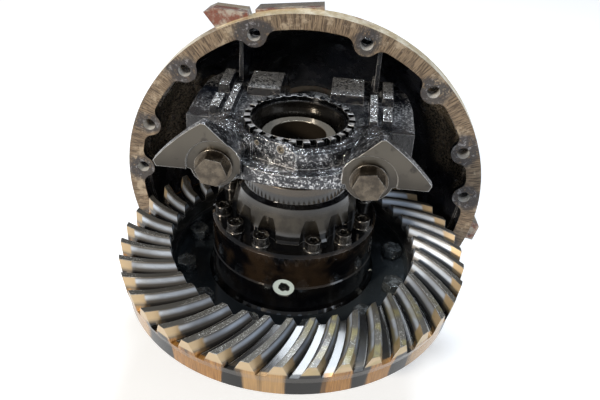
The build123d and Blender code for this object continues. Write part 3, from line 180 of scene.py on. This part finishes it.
# ---------------------------------------------------------------- the housing
def housing():
    g = Graph("housing_iron")
    rim_radius = g.radius(g.x, g.z)
    joint = g.both(g.step(g.ny, -0.5, -0.9), g.step(g.y, 0.004, 0.001), g.step(rim_radius, 0.196, 0.198))
    squashed = g.math(
        "ADD",
        g.math("POWER", g.math("DIVIDE", rim_radius, BOWL_RADIUS), 2.0),
        g.math("POWER", g.math("DIVIDE", g.y, BOWL_DEPTH), 2.0),
    )
    outward = g.math("ADD", g.math("MULTIPLY", g.nx, g.x), g.math("MULTIPLY", g.nz, g.z))
    outside = g.both(
        g.step(squashed, 0.99, 1.03),
        g.step(g.y, 0.0006, 0.002),
        g.step(outward, -0.040, -0.015),
        g.step(g.ny, -0.70, -0.45),
    )
    wall = g.both(
        g.step(rim_radius, FLANGE_RADIUS - 0.0029, FLANGE_RADIUS - 0.0019),
        g.step(g.y, 0.026, 0.022),
        g.other(joint),
    )

    nearest = None
    in_plane = g.node("ShaderNodeCombineXYZ", {0: g.x, 1: 0.0, 2: g.z}).outputs[0]
    for angle in HOLE_ANGLES:
        for side in (-1, 1):
            lean = math.radians(side * angle)
            hole = Vector((HOLE_CIRCLE * math.sin(lean), 0, HOLE_CIRCLE * math.cos(lean)))
            away = g.node(
                "ShaderNodeVectorMath", {0: in_plane, 1: hole}, operation="DISTANCE"
            ).outputs[1]
            nearest = away if nearest is None else g.math("MINIMUM", nearest, away)

    # The machined joint face: short tool marks across it, brown residue, grey stains round the holes.
    turn = g.math("ARCTAN2", g.x, g.z)
    across = g.node(
        "ShaderNodeCombineXYZ",
        {0: g.math("MULTIPLY", turn, 26.0), 1: g.math("MULTIPLY", rim_radius, 9.0), 2: 0.0},
    ).outputs[0]
    marks = g.noise(6.0, 3.0, 0.7, across, 0.4)
    residue = g.noise(34.0, 6.0, 0.7)
    patches = g.noise(110.0, 5.0, 0.75)
    face = g.mix(g.step(marks, 0.40, 0.60), (0.070, 0.046, 0.028), (0.25, 0.185, 0.120))
    face = g.mix(g.step(residue, 0.52, 0.62), face, (0.36, 0.295, 0.215))
    pits = g.both(g.step(patches, 0.58, 0.66), g.step(residue, 0.56, 0.46))
    face = g.mix(pits, face, (0.030, 0.024, 0.021))
    spread = g.math("ADD", g.math("MULTIPLY", g.math("SUBTRACT", patches, 0.5), 0.030), nearest)
    spread = g.math("ADD", g.math("MULTIPLY", g.math("SUBTRACT", g.noise(13.0, 3.0), 0.5), 0.050), spread)
    stain = g.both(g.step(spread, 0.0260, 0.0160), g.step(patches, 0.36, 0.46))
    face = g.mix(g.math("MULTIPLY", stain, 0.9), face, (0.028, 0.028, 0.034))
    face = g.mix(g.both(stain, g.step(patches, 0.54, 0.62)), face, (0.24, 0.24, 0.26))
    # Painted light: the walls of the flange holes are painted near-white, where the holes look bright.
    painted_hole_light = g.both(
        g.step(nearest, HOLE_WALL + 0.00015, HOLE_WALL),
        g.step(g.y, 0.0003, 0.0008),
        g.step(g.y, 0.016, 0.008),
    )

    # The outer wall: pale cream, partly dust and partly painted sunlight, rusting in patches towards its
    # lugs.
    rust = g.noise(9.0, 6.0, 0.65, None, 0.8)
    dust_and_sunlight = g.mix(g.step(residue, 0.40, 0.65), (0.52, 0.42, 0.26), (0.82, 0.77, 0.64))
    dust_and_sunlight = g.mix(g.step(rust, 0.56, 0.66), dust_and_sunlight, (0.20, 0.052, 0.022))
    dust_and_sunlight = g.mix(g.both(g.step(patches, 0.60, 0.72), g.step(rust, 0.50, 0.60)), dust_and_sunlight, (0.045, 0.040, 0.038))
    lug = g.step(rim_radius, FLANGE_RADIUS + 0.0004, FLANGE_RADIUS + 0.0021)
    lug_color = g.mix(g.step(residue, 0.42, 0.58), (0.16, 0.042, 0.02), (0.36, 0.33, 0.28))
    lug_color = g.mix(g.step(patches, 0.56, 0.62), lug_color, (0.06, 0.055, 0.055))
    dust_and_sunlight = g.mix(lug, dust_and_sunlight, lug_color)

    # The bowl's outside: oil-darkened cast iron under the same dust.
    back = g.mix(g.step(rust, 0.42, 0.60), (0.105, 0.092, 0.078), (0.27, 0.215, 0.15))
    back = g.mix(g.step(g.noise(5.0, 5.0, 0.7), 0.55, 0.70), back, (0.17, 0.062, 0.03))

    # Inside: black oil over the casting, with painted glints in bright grains on the flat pads that face up.
    flat = g.both(g.step(g.nz, 0.60, 0.90), g.step(g.y, 0.055, 0.045), g.step(g.z, 0.09, 0.10))
    grain = g.noise(330.0, 3.0, 0.8)
    wet = g.noise(26.0, 4.0, 0.6)
    inside = g.mix(g.step(wet, 0.35, 0.70), (0.002, 0.003, 0.006), (0.010, 0.011, 0.015))
    pad = g.step(g.z, 0.1485, 0.1525)
    glint_share = g.blend(pad, g.math("MULTIPLY", g.step(wet, 0.40, 0.66), 0.55), 1.0)
    glint_grains = g.both(g.step(grain, g.blend(pad, 0.53, 0.47), g.blend(pad, 0.58, 0.52)), glint_share)
    inside = g.mix(g.both(flat, glint_grains), inside, (0.86, 0.87, 0.88))
    # Painted sunlight: beige patches on the bowl's inner wall at both sides.
    sunlit_crescent = g.both(
        g.step(g.math("ABSOLUTE", g.x), 0.148, 0.160),
        g.step(g.z, 0.0, 0.03),
        g.step(g.y, 0.004, 0.010),
        g.step(g.y, 0.10, 0.07),
        g.step(grain, 0.40, 0.60),
    )
    inside = g.mix(g.math("MULTIPLY", sunlit_crescent, 0.9), inside, (0.24, 0.195, 0.140))
    rest = g.mix(outside, inside, back)
    rest = g.mix(wall, rest, dust_and_sunlight)
    color = g.mix(joint, rest, face)
    color = g.mix(painted_hole_light, color, (0.97, 0.97, 0.96))

    bare = g.edge(0.0012)
    inner_edge = g.both(bare, g.other(g.either(outside, joint)))
    inner_edge = g.both(inner_edge, g.step(wet, 0.38, 0.55), g.step(g.y, 0.055, 0.045))
    color = g.mix(inner_edge, color, (0.50, 0.50, 0.52))
    roughness = g.blend(g.step(wet, 0.35, 0.65), 0.14, 0.32)
    roughness = g.blend(g.either(g.either(outside, wall), joint), roughness, 0.55)
    metallic = g.blend(g.both(flat, glint_grains), 0.0, 0.75)
    metallic = g.blend(joint, metallic, 0.05)
    metallic = g.blend(painted_hole_light, metallic, 0.25)
    cast = g.math("ADD", g.math("MULTIPLY", grain, 0.5), g.noise(120.0, 4.0, 0.65))
    lines = g.math("MULTIPLY", g.math("ADD", marks, g.math("MULTIPLY", patches, 0.6)), 0.5)
    height = g.blend(joint, cast, lines)
    normal = g.bump(height, 0.0024, 0.9, g.rounded(0.0014))
    return g.surface(color, roughness, metallic, normal, g.blend(joint, 0.30, 0.0), 0.10)


# ---------------------------------------------------------------- castings, gears and fasteners
def cap_iron():
    """Oily cast iron with painted glints in its bright grains, bright along its edges, with smooth machined
    faces in front whose brown is a painted reflection.
    """
    g = Graph("cap_iron")
    machined = g.both(g.step(g.ny, -0.93, -0.985), g.step(g.math("ABSOLUTE", g.x), 0.040, 0.048))
    grain = g.noise(330.0, 3.0, 0.8)
    blotch = g.noise(38.0, 4.0, 0.6)
    sweep = g.noise(16.0, 2.0, 0.5)
    cast = g.mix(g.step(blotch, 0.35, 0.65), (0.016, 0.017, 0.021), (0.085, 0.088, 0.098))
    # Painted glints: bright grains on the cast surface.
    glint_share = g.step(blotch, 0.36, 0.58)
    cast = g.mix(g.both(g.step(grain, 0.53, 0.59), glint_share), cast, (0.88, 0.89, 0.91))
    # Painted reflection: the machined front faces are brown as a wooden floor mirrored in them, lighter
    # higher up.
    lift = g.step(g.z, 0.112, 0.160)
    face = g.mix(g.step(sweep, 0.38, 0.62), (0.022, 0.018, 0.013), (0.055, 0.047, 0.037))
    face = g.mix(g.math("MULTIPLY", lift, 0.8), face, (0.082, 0.074, 0.060))
    face = g.mix(g.step(g.noise(75.0, 4.0), 0.56, 0.72), face, (0.016, 0.013, 0.010))
    color = g.mix(machined, cast, face)
    color = g.mix(g.both(g.edge(0.0016), g.step(blotch, 0.30, 0.50)), color, (0.85, 0.85, 0.85))
    roughness = g.blend(machined, g.blend(g.step(blotch, 0.4, 0.65), 0.14, 0.30), 0.34)
    height = g.math("ADD", g.math("MULTIPLY", grain, 0.45), g.noise(110.0, 4.0, 0.6))
    height = g.math("MULTIPLY", height, g.blend(machined, 1.0, 0.06))
    normal = g.bump(height, 0.0022, 0.9, g.rounded(0.0018))
    return g.surface(color, roughness, g.blend(machined, 0.85, 0.6), normal, 0.25, 0.08)


def ring_steel():
    """Ground flanks with marks along each tooth, painted black shade in the roots, an oiled web and a
    polished rim with a painted reflection.
    """
    g = Graph("ring_gear_steel")
    radius = g.axle_radius()
    tip = g.math("ADD", RING_TIP[1], g.math("MULTIPLY", g.math("SUBTRACT", RING_TIP[0], radius), RING_SLOPE))
    depth = g.math("SUBTRACT", tip, g.z)
    toothed = g.step(radius, 0.1475, 0.150)
    lean = g.math(
        "ADD", g.math("MULTIPLY", g.nx, g.x), g.math("MULTIPLY", g.ny, g.math("SUBTRACT", g.y, AXLE_Y))
    )
    outer = g.both(g.step(g.math("DIVIDE", lean, radius), 0.55, 0.75), g.step(radius, 0.198, 0.200))
    shaded_root = g.both(g.step(depth, 0.0085, 0.0140), toothed, g.other(outer))
    rim = g.both(g.step(depth, 0.0125, 0.0160), g.either(outer, g.step(radius, 0.2065, 0.2080)))
    web = g.other(toothed)
    along = g.noise(5.0, 3.0, 0.7, g.polar(9.0, 3.0, 900.0))
    round_marks = g.noise(4.0, 3.0, 0.7, g.polar(3.0, 260.0, 40.0))
    cloud = g.noise(14.0, 3.0, 0.6)
    # Flank steel: grey with a painted blue skylight tint of the shaded flanks.
    steel = g.mix(g.step(along, 0.3, 0.7), (0.50, 0.58, 0.70), (0.74, 0.82, 0.94))
    steel = g.mix(g.step(cloud, 0.46, 0.68), steel, (0.36, 0.40, 0.47))
    # Painted reflection: each flank is bright in its middle and darker grey towards tip and root.
    middle = g.both(g.step(depth, 0.0006, 0.0036), g.step(depth, 0.0095, 0.0050))
    steel = g.mix(middle, (0.155, 0.150, 0.145), steel)
    # Painted sunlight: the heel ends and the flank next to them are painted warm beige.
    sunlit_heel = g.step(g.math("ADD", radius, g.math("MULTIPLY", cloud, 0.006)), 0.2035, 0.2065)
    steel = g.mix(sunlit_heel, steel, (0.47, 0.355, 0.215))
    flecks = g.both(g.step(g.noise(700.0, 2.0), 0.58, 0.66), g.step(cloud, 0.44, 0.56))
    land = g.mix(flecks, (0.080, 0.074, 0.064), (0.50, 0.50, 0.48))
    steel = g.mix(g.step(depth, 0.0010, 0.0), steel, land)
    gold = g.both(
        g.step(g.x, 0.0, 0.06), g.step(g.y, -0.16, -0.22), g.step(g.noise(46.0, 2.0, 0.5), 0.46, 0.60)
    )
    steel = g.mix(g.math("MULTIPLY", gold, 0.45), steel, (0.27, 0.23, 0.075))
    oily = g.step(g.noise(7.0, 3.0, 0.6), 0.52, 0.66)
    steel = g.mix(g.math("MULTIPLY", oily, 0.35), steel, (0.16, 0.155, 0.15))
    # Painted reflection: the polished rim is painted amber with dark bands, as wood and ground mirrored in
    # it.
    angle = g.math("ARCTAN2", g.math("SUBTRACT", g.y, AXLE_Y), g.x)
    bands = g.noise(2.3, 3.0, 0.5, g.polar(1.7, 0.0, 1.0))
    fine = g.noise(6.0, 4.0, 0.7, g.polar(30.0, 0.0, 3.0))
    amber = g.mix(g.step(fine, 0.35, 0.65), (0.150, 0.062, 0.012), (0.36, 0.180, 0.045))
    wave = g.step(g.math("SINE", g.math("MULTIPLY", angle, 7.0)), -0.2, 0.3)
    amber = g.mix(g.math("MULTIPLY", wave, 0.35), amber, (0.46, 0.33, 0.17))
    rim_reflection = g.mix(g.step(bands, 0.45, 0.50), (0.004, 0.003, 0.002), amber)
    black = g.mix(cloud, (0.010, 0.013, 0.017), (0.040, 0.050, 0.058))
    # Painted shade: the roots between the teeth are painted near-black.
    color = g.mix(g.math("MULTIPLY", shaded_root, 0.92), steel, (0.012, 0.012, 0.013))
    color = g.mix(web, color, black)
    color = g.mix(rim, color, rim_reflection)
    worn = g.both(g.edge(0.0006), g.other(web), g.other(rim), g.step(cloud, 0.40, 0.52))
    color = g.mix(worn, color, (0.88, 0.88, 0.86))
    roughness = g.blend(g.step(along, 0.3, 0.7), 0.42, 0.50)
    roughness = g.blend(g.either(shaded_root, web), roughness, 0.14)
    roughness = g.blend(rim, roughness, 0.24)
    metallic = g.blend(g.either(web, shaded_root), 0.62, 0.25)
    height = g.blend(web, g.math("ADD", along, g.math("MULTIPLY", round_marks, 0.3)), cloud)
    normal = g.bump(height, 0.00010, 0.4, g.rounded(0.0007))
    metallic = g.blend(rim, metallic, 0.35)
    return g.surface(color, roughness, metallic, normal, g.blend(rim, 0.25, 0.0), 0.05)


def case_iron():
    """Machined iron under black oil: a dull taupe cone, glossy flanges, a bright turned hub end."""
    g = Graph("case_iron")
    radius = g.axle_radius()
    turned = g.noise(4.0, 3.0, 0.7, g.polar(2.0, 700.0, 700.0))
    wet = g.noise(22.0, 4.0, 0.6)
    film = g.noise(60.0, 4.0, 0.6)
    cone = g.both(
        g.step(g.z, 0.040, 0.047),
        g.step(g.z, 0.0845, 0.080),
        g.step(radius, 0.068, 0.071),
        g.step(g.nz, 0.95, 0.80),
    )
    hub = g.step(g.z, 0.084, 0.088)
    end = g.step(g.z, 0.1310, 0.1320)
    black = g.mix(g.step(wet, 0.40, 0.70), (0.002, 0.002, 0.003), (0.009, 0.008, 0.007))
    taupe = g.mix(g.step(film, 0.35, 0.65), (0.020, 0.017, 0.013), (0.046, 0.040, 0.031))
    # Painted reflection: brown patches on the outer band of the flanges.
    band = g.both(g.step(radius, CASE_RADIUS - 0.0025, CASE_RADIUS - 0.0015), g.step(g.z, -0.018, -0.014))
    black = g.mix(g.math("MULTIPLY", band, g.step(wet, 0.42, 0.6)), black, (0.030, 0.019, 0.011))
    color = g.mix(cone, black, taupe)
    color = g.mix(hub, color, g.mix(turned, (0.035, 0.027, 0.019), (0.080, 0.064, 0.048)))
    color = g.mix(end, color, g.mix(turned, (0.22, 0.19, 0.15), (0.62, 0.59, 0.53)))
    color = g.mix(g.both(g.edge(0.0008), g.step(wet, 0.45, 0.6)), color, (0.40, 0.39, 0.37))
    roughness = g.blend(cone, g.blend(g.step(wet, 0.4, 0.7), 0.08, 0.16), 0.36)
    roughness = g.blend(hub, roughness, 0.24)
    metallic = g.blend(g.either(cone, hub), 0.35, 0.70)
    height = g.blend(hub, g.math("ADD", film, g.math("MULTIPLY", g.noise(420.0, 2.0), 0.4)), turned)
    normal = g.bump(height, g.blend(cone, 0.00006, 0.00030), 0.6, g.rounded(0.0012))
    return g.surface(color, roughness, metallic, normal, g.blend(cone, 0.8, 0.25), 0.05)


def bolt_steel(name, dark, light, wear, roughness, oil, speckle=0.0):
    """Phosphated and oiled fasteners: blotched, with worn edges and, where asked, bright specks of dirt."""
    g = Graph(name)
    blotch = g.noise(120.0, 4.0, 0.65)
    fine = g.noise(900.0, 2.0, 0.6)
    color = g.mix(g.step(blotch, 0.35, 0.68), dark, light)
    color = g.mix(g.math("MULTIPLY", g.step(fine, 0.62, 0.70), speckle), color, (0.75, 0.76, 0.76))
    color = g.mix(g.math("MULTIPLY", g.edge(0.0009), wear), color, (0.80, 0.76, 0.70))
    rough = g.blend(g.step(blotch, 0.3, 0.7), roughness * 0.75, roughness * 1.3)
    normal = g.bump(g.math("ADD", blotch, g.math("MULTIPLY", fine, 0.3)), 0.0003, 0.6, g.rounded(0.0010))
    return g.surface(color, rough, 0.9, normal, oil, 0.06)


def adjuster_steel():
    """A turned crown ring: its teeth painted bright on top as painted highlight, with painted shade on their
    sides and in the slots between them.
    """
    g = Graph("adjuster_steel")
    lift = g.math("ABSOLUTE", g.nz)
    top = g.step(lift, 0.80, 0.95)
    scuff = g.noise(160.0, 4.0, 0.65)
    turned = g.noise(4.0, 3.0, 0.7, g.polar(2.0, 800.0, 800.0))
    # Painted shade: the sides are near-black.
    side = g.mix(g.step(scuff, 0.45, 0.70), (0.003, 0.003, 0.004), (0.040, 0.040, 0.042))
    # Painted shade: the floors of the slots on the upper ring are darkened.
    floor = g.step(g.z, 0.1530, 0.1537)
    # Painted highlight: faces that point up or down are bright.
    bright = g.mix(g.step(scuff, 0.34, 0.58), (0.34, 0.34, 0.35), (0.86, 0.86, 0.87))
    bright = g.mix(g.both(g.other(floor), g.step(g.z, 0.0, 0.01)), bright, (0.010, 0.010, 0.012))
    bore = g.both(g.step(g.axle_radius(), 0.0552, 0.0545), g.other(top))
    color = g.mix(top, side, bright)
    color = g.mix(bore, color, g.mix(turned, (0.008, 0.008, 0.009), (0.05, 0.045, 0.04)))
    color = g.mix(g.both(g.edge(0.0008), g.other(bore)), color, (0.82, 0.82, 0.82))
    rough = g.blend(g.step(scuff, 0.3, 0.7), 0.22, 0.38)
    normal = g.bump(g.math("ADD", scuff, g.math("MULTIPLY", turned, 0.3)), 0.0003, 0.6, g.rounded(0.0008))
    return g.surface(color, rough, 0.95, normal, 0.3, 0.06)


def turned_steel(name, dark, light, roughness, place=(2.0, 700.0, 700.0), oil=0.3, metallic=1.0):
    """Steel with fine marks round the differential axis, or along a chosen direction, and a thin oil film."""
    g = Graph(name)
    turned = g.noise(4.0, 3.0, 0.7, g.polar(*place))
    film = g.noise(70.0, 4.0, 0.6)
    color = g.mix(turned, dark, light)
    color = g.mix(g.math("MULTIPLY", g.step(film, 0.55, 0.7), 0.5), color, dark)
    color = g.mix(g.edge(0.0007), color, tuple(min(1.0, c * 1.5) for c in light))
    rough = g.blend(g.step(film, 0.3, 0.7), roughness * 0.8, roughness * 1.3)
    return g.surface(color, rough, metallic, g.bump(turned, 0.0002, 0.5, g.rounded(0.0006)), oil, 0.05)


def outer_cast(name, dark, light, rust_share):
    """The pinion end's castings: dusty, oil-stained iron with a coarse skin and some rust."""
    g = Graph(name)
    dirt = g.noise(24.0, 6.0, 0.65)
    skin = g.noise(260.0, 4.0, 0.65)
    rust = g.noise(11.0, 5.0, 0.7, None, 0.6)
    color = g.mix(g.step(dirt, 0.35, 0.65), dark, light)
    color = g.mix(g.math("MULTIPLY", g.step(rust, 0.55, 0.68), rust_share), color, (0.21, 0.07, 0.03))
    color = g.mix(g.both(g.edge(0.0012), g.step(dirt, 0.4, 0.6)), color, (0.34, 0.31, 0.27))
    rough = g.blend(g.step(dirt, 0.3, 0.7), 0.42, 0.68)
    return g.surface(color, rough, 0.25, g.bump(skin, 0.0007, 0.7, g.rounded(0.0012)), 0.1, 0.3)


def spider_steel():
    """Ground trunnions whose ends carry pale grease round a centre hole painted dark as shade."""
    g = Graph("spider_steel")
    off_x = g.math("ABSOLUTE", g.x)
    off_y = g.math("ABSOLUTE", g.math("SUBTRACT", g.y, AXLE_Y))
    along = g.math("MAXIMUM", off_x, off_y)
    centre = g.radius(g.math("MINIMUM", off_x, off_y), g.z, SPIDER_Z)
    smear = g.noise(210.0, 4.0, 0.65)
    end = g.step(along, CASE_RADIUS - 0.0030, CASE_RADIUS - 0.0020)
    ground = g.mix(g.step(smear, 0.35, 0.65), (0.34, 0.35, 0.36), (0.60, 0.61, 0.62))
    ragged = g.math("ADD", centre, g.math("MULTIPLY", g.math("SUBTRACT", smear, 0.5), 0.010))
    # Painted shade: the centre hole of each trunnion end is a near-black disc.
    grease_and_hole_shade = g.mix(g.step(ragged, 0.0062, 0.0070), (0.010, 0.011, 0.012), (0.62, 0.74, 0.74))
    color = g.mix(end, ground, grease_and_hole_shade)
    metallic = g.blend(end, 1.0, 0.05)
    return g.surface(color, 0.28, metallic, g.bump(smear, 0.0006, 0.6), 0.4, 0.06)


def seal_rubber():
    g = Graph("seal_rubber")
    bloom = g.noise(90.0, 5.0, 0.65)
    color = g.mix(g.step(bloom, 0.4, 0.7), (0.018, 0.018, 0.019), (0.055, 0.053, 0.050))
    return g.surface(color, g.blend(bloom, 0.42, 0.66), 0.0, g.bump(bloom, 0.0002, 0.5))


paint(housing(), "carrier_housing")
paint(cap_iron(), "bearing_cap_upper", "bearing_cap_lower")
paint(ring_steel(), "ring_gear")
paint(case_iron(), "case_cover_half", "case_flange_half")
paint(adjuster_steel(), "adjuster_ring_upper", "adjuster_ring_lower")
paint(
    bolt_steel("cap_bolt_steel", (0.045, 0.036, 0.027), (0.115, 0.094, 0.070), 0.6, 0.22, 0.3),
    "cap_bolts",
    "cap_washers",
)
paint(
    bolt_steel("case_bolt_steel", (0.012, 0.011, 0.011), (0.105, 0.097, 0.088), 0.8, 0.22, 0.6, 0.25),
    "case_bolts",
)
paint(
    bolt_steel("ring_bolt_steel", (0.16, 0.185, 0.20), (0.42, 0.46, 0.48), 0.25, 0.24, 0.9, 0.6),
    "ring_gear_bolts",
    "ring_gear_nuts",
)
paint(
    bolt_steel("outer_bolt_steel", (0.11, 0.095, 0.075), (0.32, 0.28, 0.22), 0.6, 0.34, 0.1),
    "cartridge_bolts",
    "fill_plug",
    "pinion_nut",
    "pinion_nut_washer",
    "adjuster_lock_pins",
)
paint(
    turned_steel("pinion_steel", (0.36, 0.37, 0.39), (0.66, 0.67, 0.69), 0.24, (20.0, 60.0, 500.0)),
    "drive_pinion",
)
paint(
    turned_steel("inner_gear_steel", (0.30, 0.31, 0.33), (0.62, 0.63, 0.65), 0.25),
    "side_gear_upper",
    "side_gear_lower",
    *(f"spider_pinion_{number}" for number in range(1, 5)),
)
paint(spider_steel(), "spider")
paint(
    turned_steel("cup_steel", (0.075, 0.062, 0.048), (0.155, 0.132, 0.105), 0.34),
    "side_bearing_cup_upper",
    "side_bearing_cup_lower",
)
# Painted shade: the side bearing rollers and cages are painted near-black, with an oil film.
paint(
    turned_steel("shaded_oily_bearing_steel", (0.012, 0.011, 0.010), (0.050, 0.045, 0.038), 0.12),
    "side_bearing_rollers_upper",
    "side_bearing_rollers_lower",
    "side_bearing_cage_upper",
    "side_bearing_cage_lower",
)
paint(
    turned_steel("bearing_steel", (0.50, 0.49, 0.46), (0.80, 0.79, 0.77), 0.12),
    "side_bearing_cone_upper",
    "side_bearing_cone_lower",
    "pinion_head_bearing_cup",
    "pinion_head_bearing_cone",
    "pinion_head_bearing_rollers",
    "pinion_tail_bearing_cup",
    "pinion_tail_bearing_cone",
    "pinion_tail_bearing_rollers",
    "pilot_bearing_outer_ring",
    "pilot_bearing_inner_ring",
    "pilot_bearing_rollers",
)
paint(
    turned_steel("cage_steel", (0.16, 0.155, 0.145), (0.36, 0.35, 0.33), 0.34),
    "pinion_head_bearing_cage",
    "pinion_tail_bearing_cage",
    "pilot_bearing_cage",
)
paint(
    turned_steel("bronze", (0.36, 0.21, 0.08), (0.62, 0.42, 0.18), 0.28),
    "side_gear_washer_upper",
    "side_gear_washer_lower",
    "spider_pinion_washers",
)
paint(outer_cast("cartridge_iron", (0.09, 0.08, 0.07), (0.24, 0.20, 0.15), 0.8), "pinion_cartridge")
paint(
    outer_cast("flange_steel", (0.16, 0.15, 0.14), (0.34, 0.32, 0.29), 0.35),
    "drive_flange",
    "dust_deflector",
    "bearing_spacer",
    "cartridge_shim",
)
paint(seal_rubber(), "oil_seal")


# ---------------------------------------------------------------- floor, light and camera
def floor():
    mesh = bpy.data.meshes.new("floor")
    reach = 9.0
    level = cad_box[0].z - 0.001
    corners = [(-reach, -reach, level), (reach, -reach, level), (reach, reach, level), (-reach, reach, level)]
    mesh.from_pydata(corners, [], [(0, 1, 2, 3)])
    made = bpy.data.objects.new("floor", mesh)
    bpy.context.scene.collection.objects.link(made)
    g = Graph("floor_paint")
    tone = g.noise(3.0, 2.0)
    pale = g.surface(g.mix(tone, (0.80, 0.82, 0.85), (0.84, 0.86, 0.89)), 0.8, 0.0)
    shader = next(n for n in g.tree.nodes if n.type == "BSDF_PRINCIPLED")
    shader.inputs["Emission Color"].default_value = (1.0, 1.0, 1.0, 1.0)
    shader.inputs["Emission Strength"].default_value = 0.42
    mesh.materials.append(pale)


def area_light(name, place, target, size, power, color):
    lamp = bpy.data.lights.new(name, "AREA")
    lamp.shape = "DISK"
    lamp.size = size
    lamp.energy = power
    lamp.color = color
    made = bpy.data.objects.new(name, lamp)
    made.location = place
    made.rotation_mode = "QUATERNION"
    made.rotation_quaternion = (Vector(target) - Vector(place)).to_track_quat("-Z", "Y")
    bpy.context.scene.collection.objects.link(made)


def world_light(color, strength):
    world = bpy.data.worlds.new("studio")
    world.use_nodes = True
    backdrop = world.node_tree.nodes["Background"]
    backdrop.inputs[0].default_value = (*color, 1.0)
    backdrop.inputs[1].default_value = strength
    bpy.context.scene.world = world


def camera():
    target = Vector((0.0, AXLE_Y, 0.0293))
    place = Vector((0.0526, -0.7798, 0.4873))
    look = (target - place).normalized()
    level_right = look.cross(Vector((0, 0, 1))).normalized()
    level_up = level_right.cross(look)
    roll = math.radians(3.236)
    right = level_right * math.cos(roll) + level_up * math.sin(roll)
    up = right.cross(look)
    lens = bpy.data.cameras.new("camera")
    lens.sensor_width = 36.0
    lens.lens = 40.19
    lens.shift_x = 0.0092
    lens.shift_y = 0.0133
    lens.clip_start = 0.01
    made = bpy.data.objects.new("camera", lens)
    made.matrix_world = Matrix(
        (
            (right.x, up.x, -look.x, place.x),
            (right.y, up.y, -look.y, place.y),
            (right.z, up.z, -look.z, place.z),
            (0, 0, 0, 1),
        )
    )
    bpy.context.scene.collection.objects.link(made)
    bpy.context.scene.camera = made


floor()
middle = (0.0, AXLE_Y, 0.0)
area_light("key", (-1.7, -2.6, 1.6), middle, 0.45, 100.0, (1.0, 0.89, 0.74))
area_light("top", (0.3, 0.7, 3.0), middle, 1.0, 60.0, (0.86, 0.93, 1.0))
area_light("right", (2.6, -1.2, 1.3), middle, 1.6, 16.0, (0.82, 0.90, 1.0))
world_light((0.93, 0.96, 1.0), 0.26)
camera()
bpy.context.scene.view_settings.view_transform = "Standard"
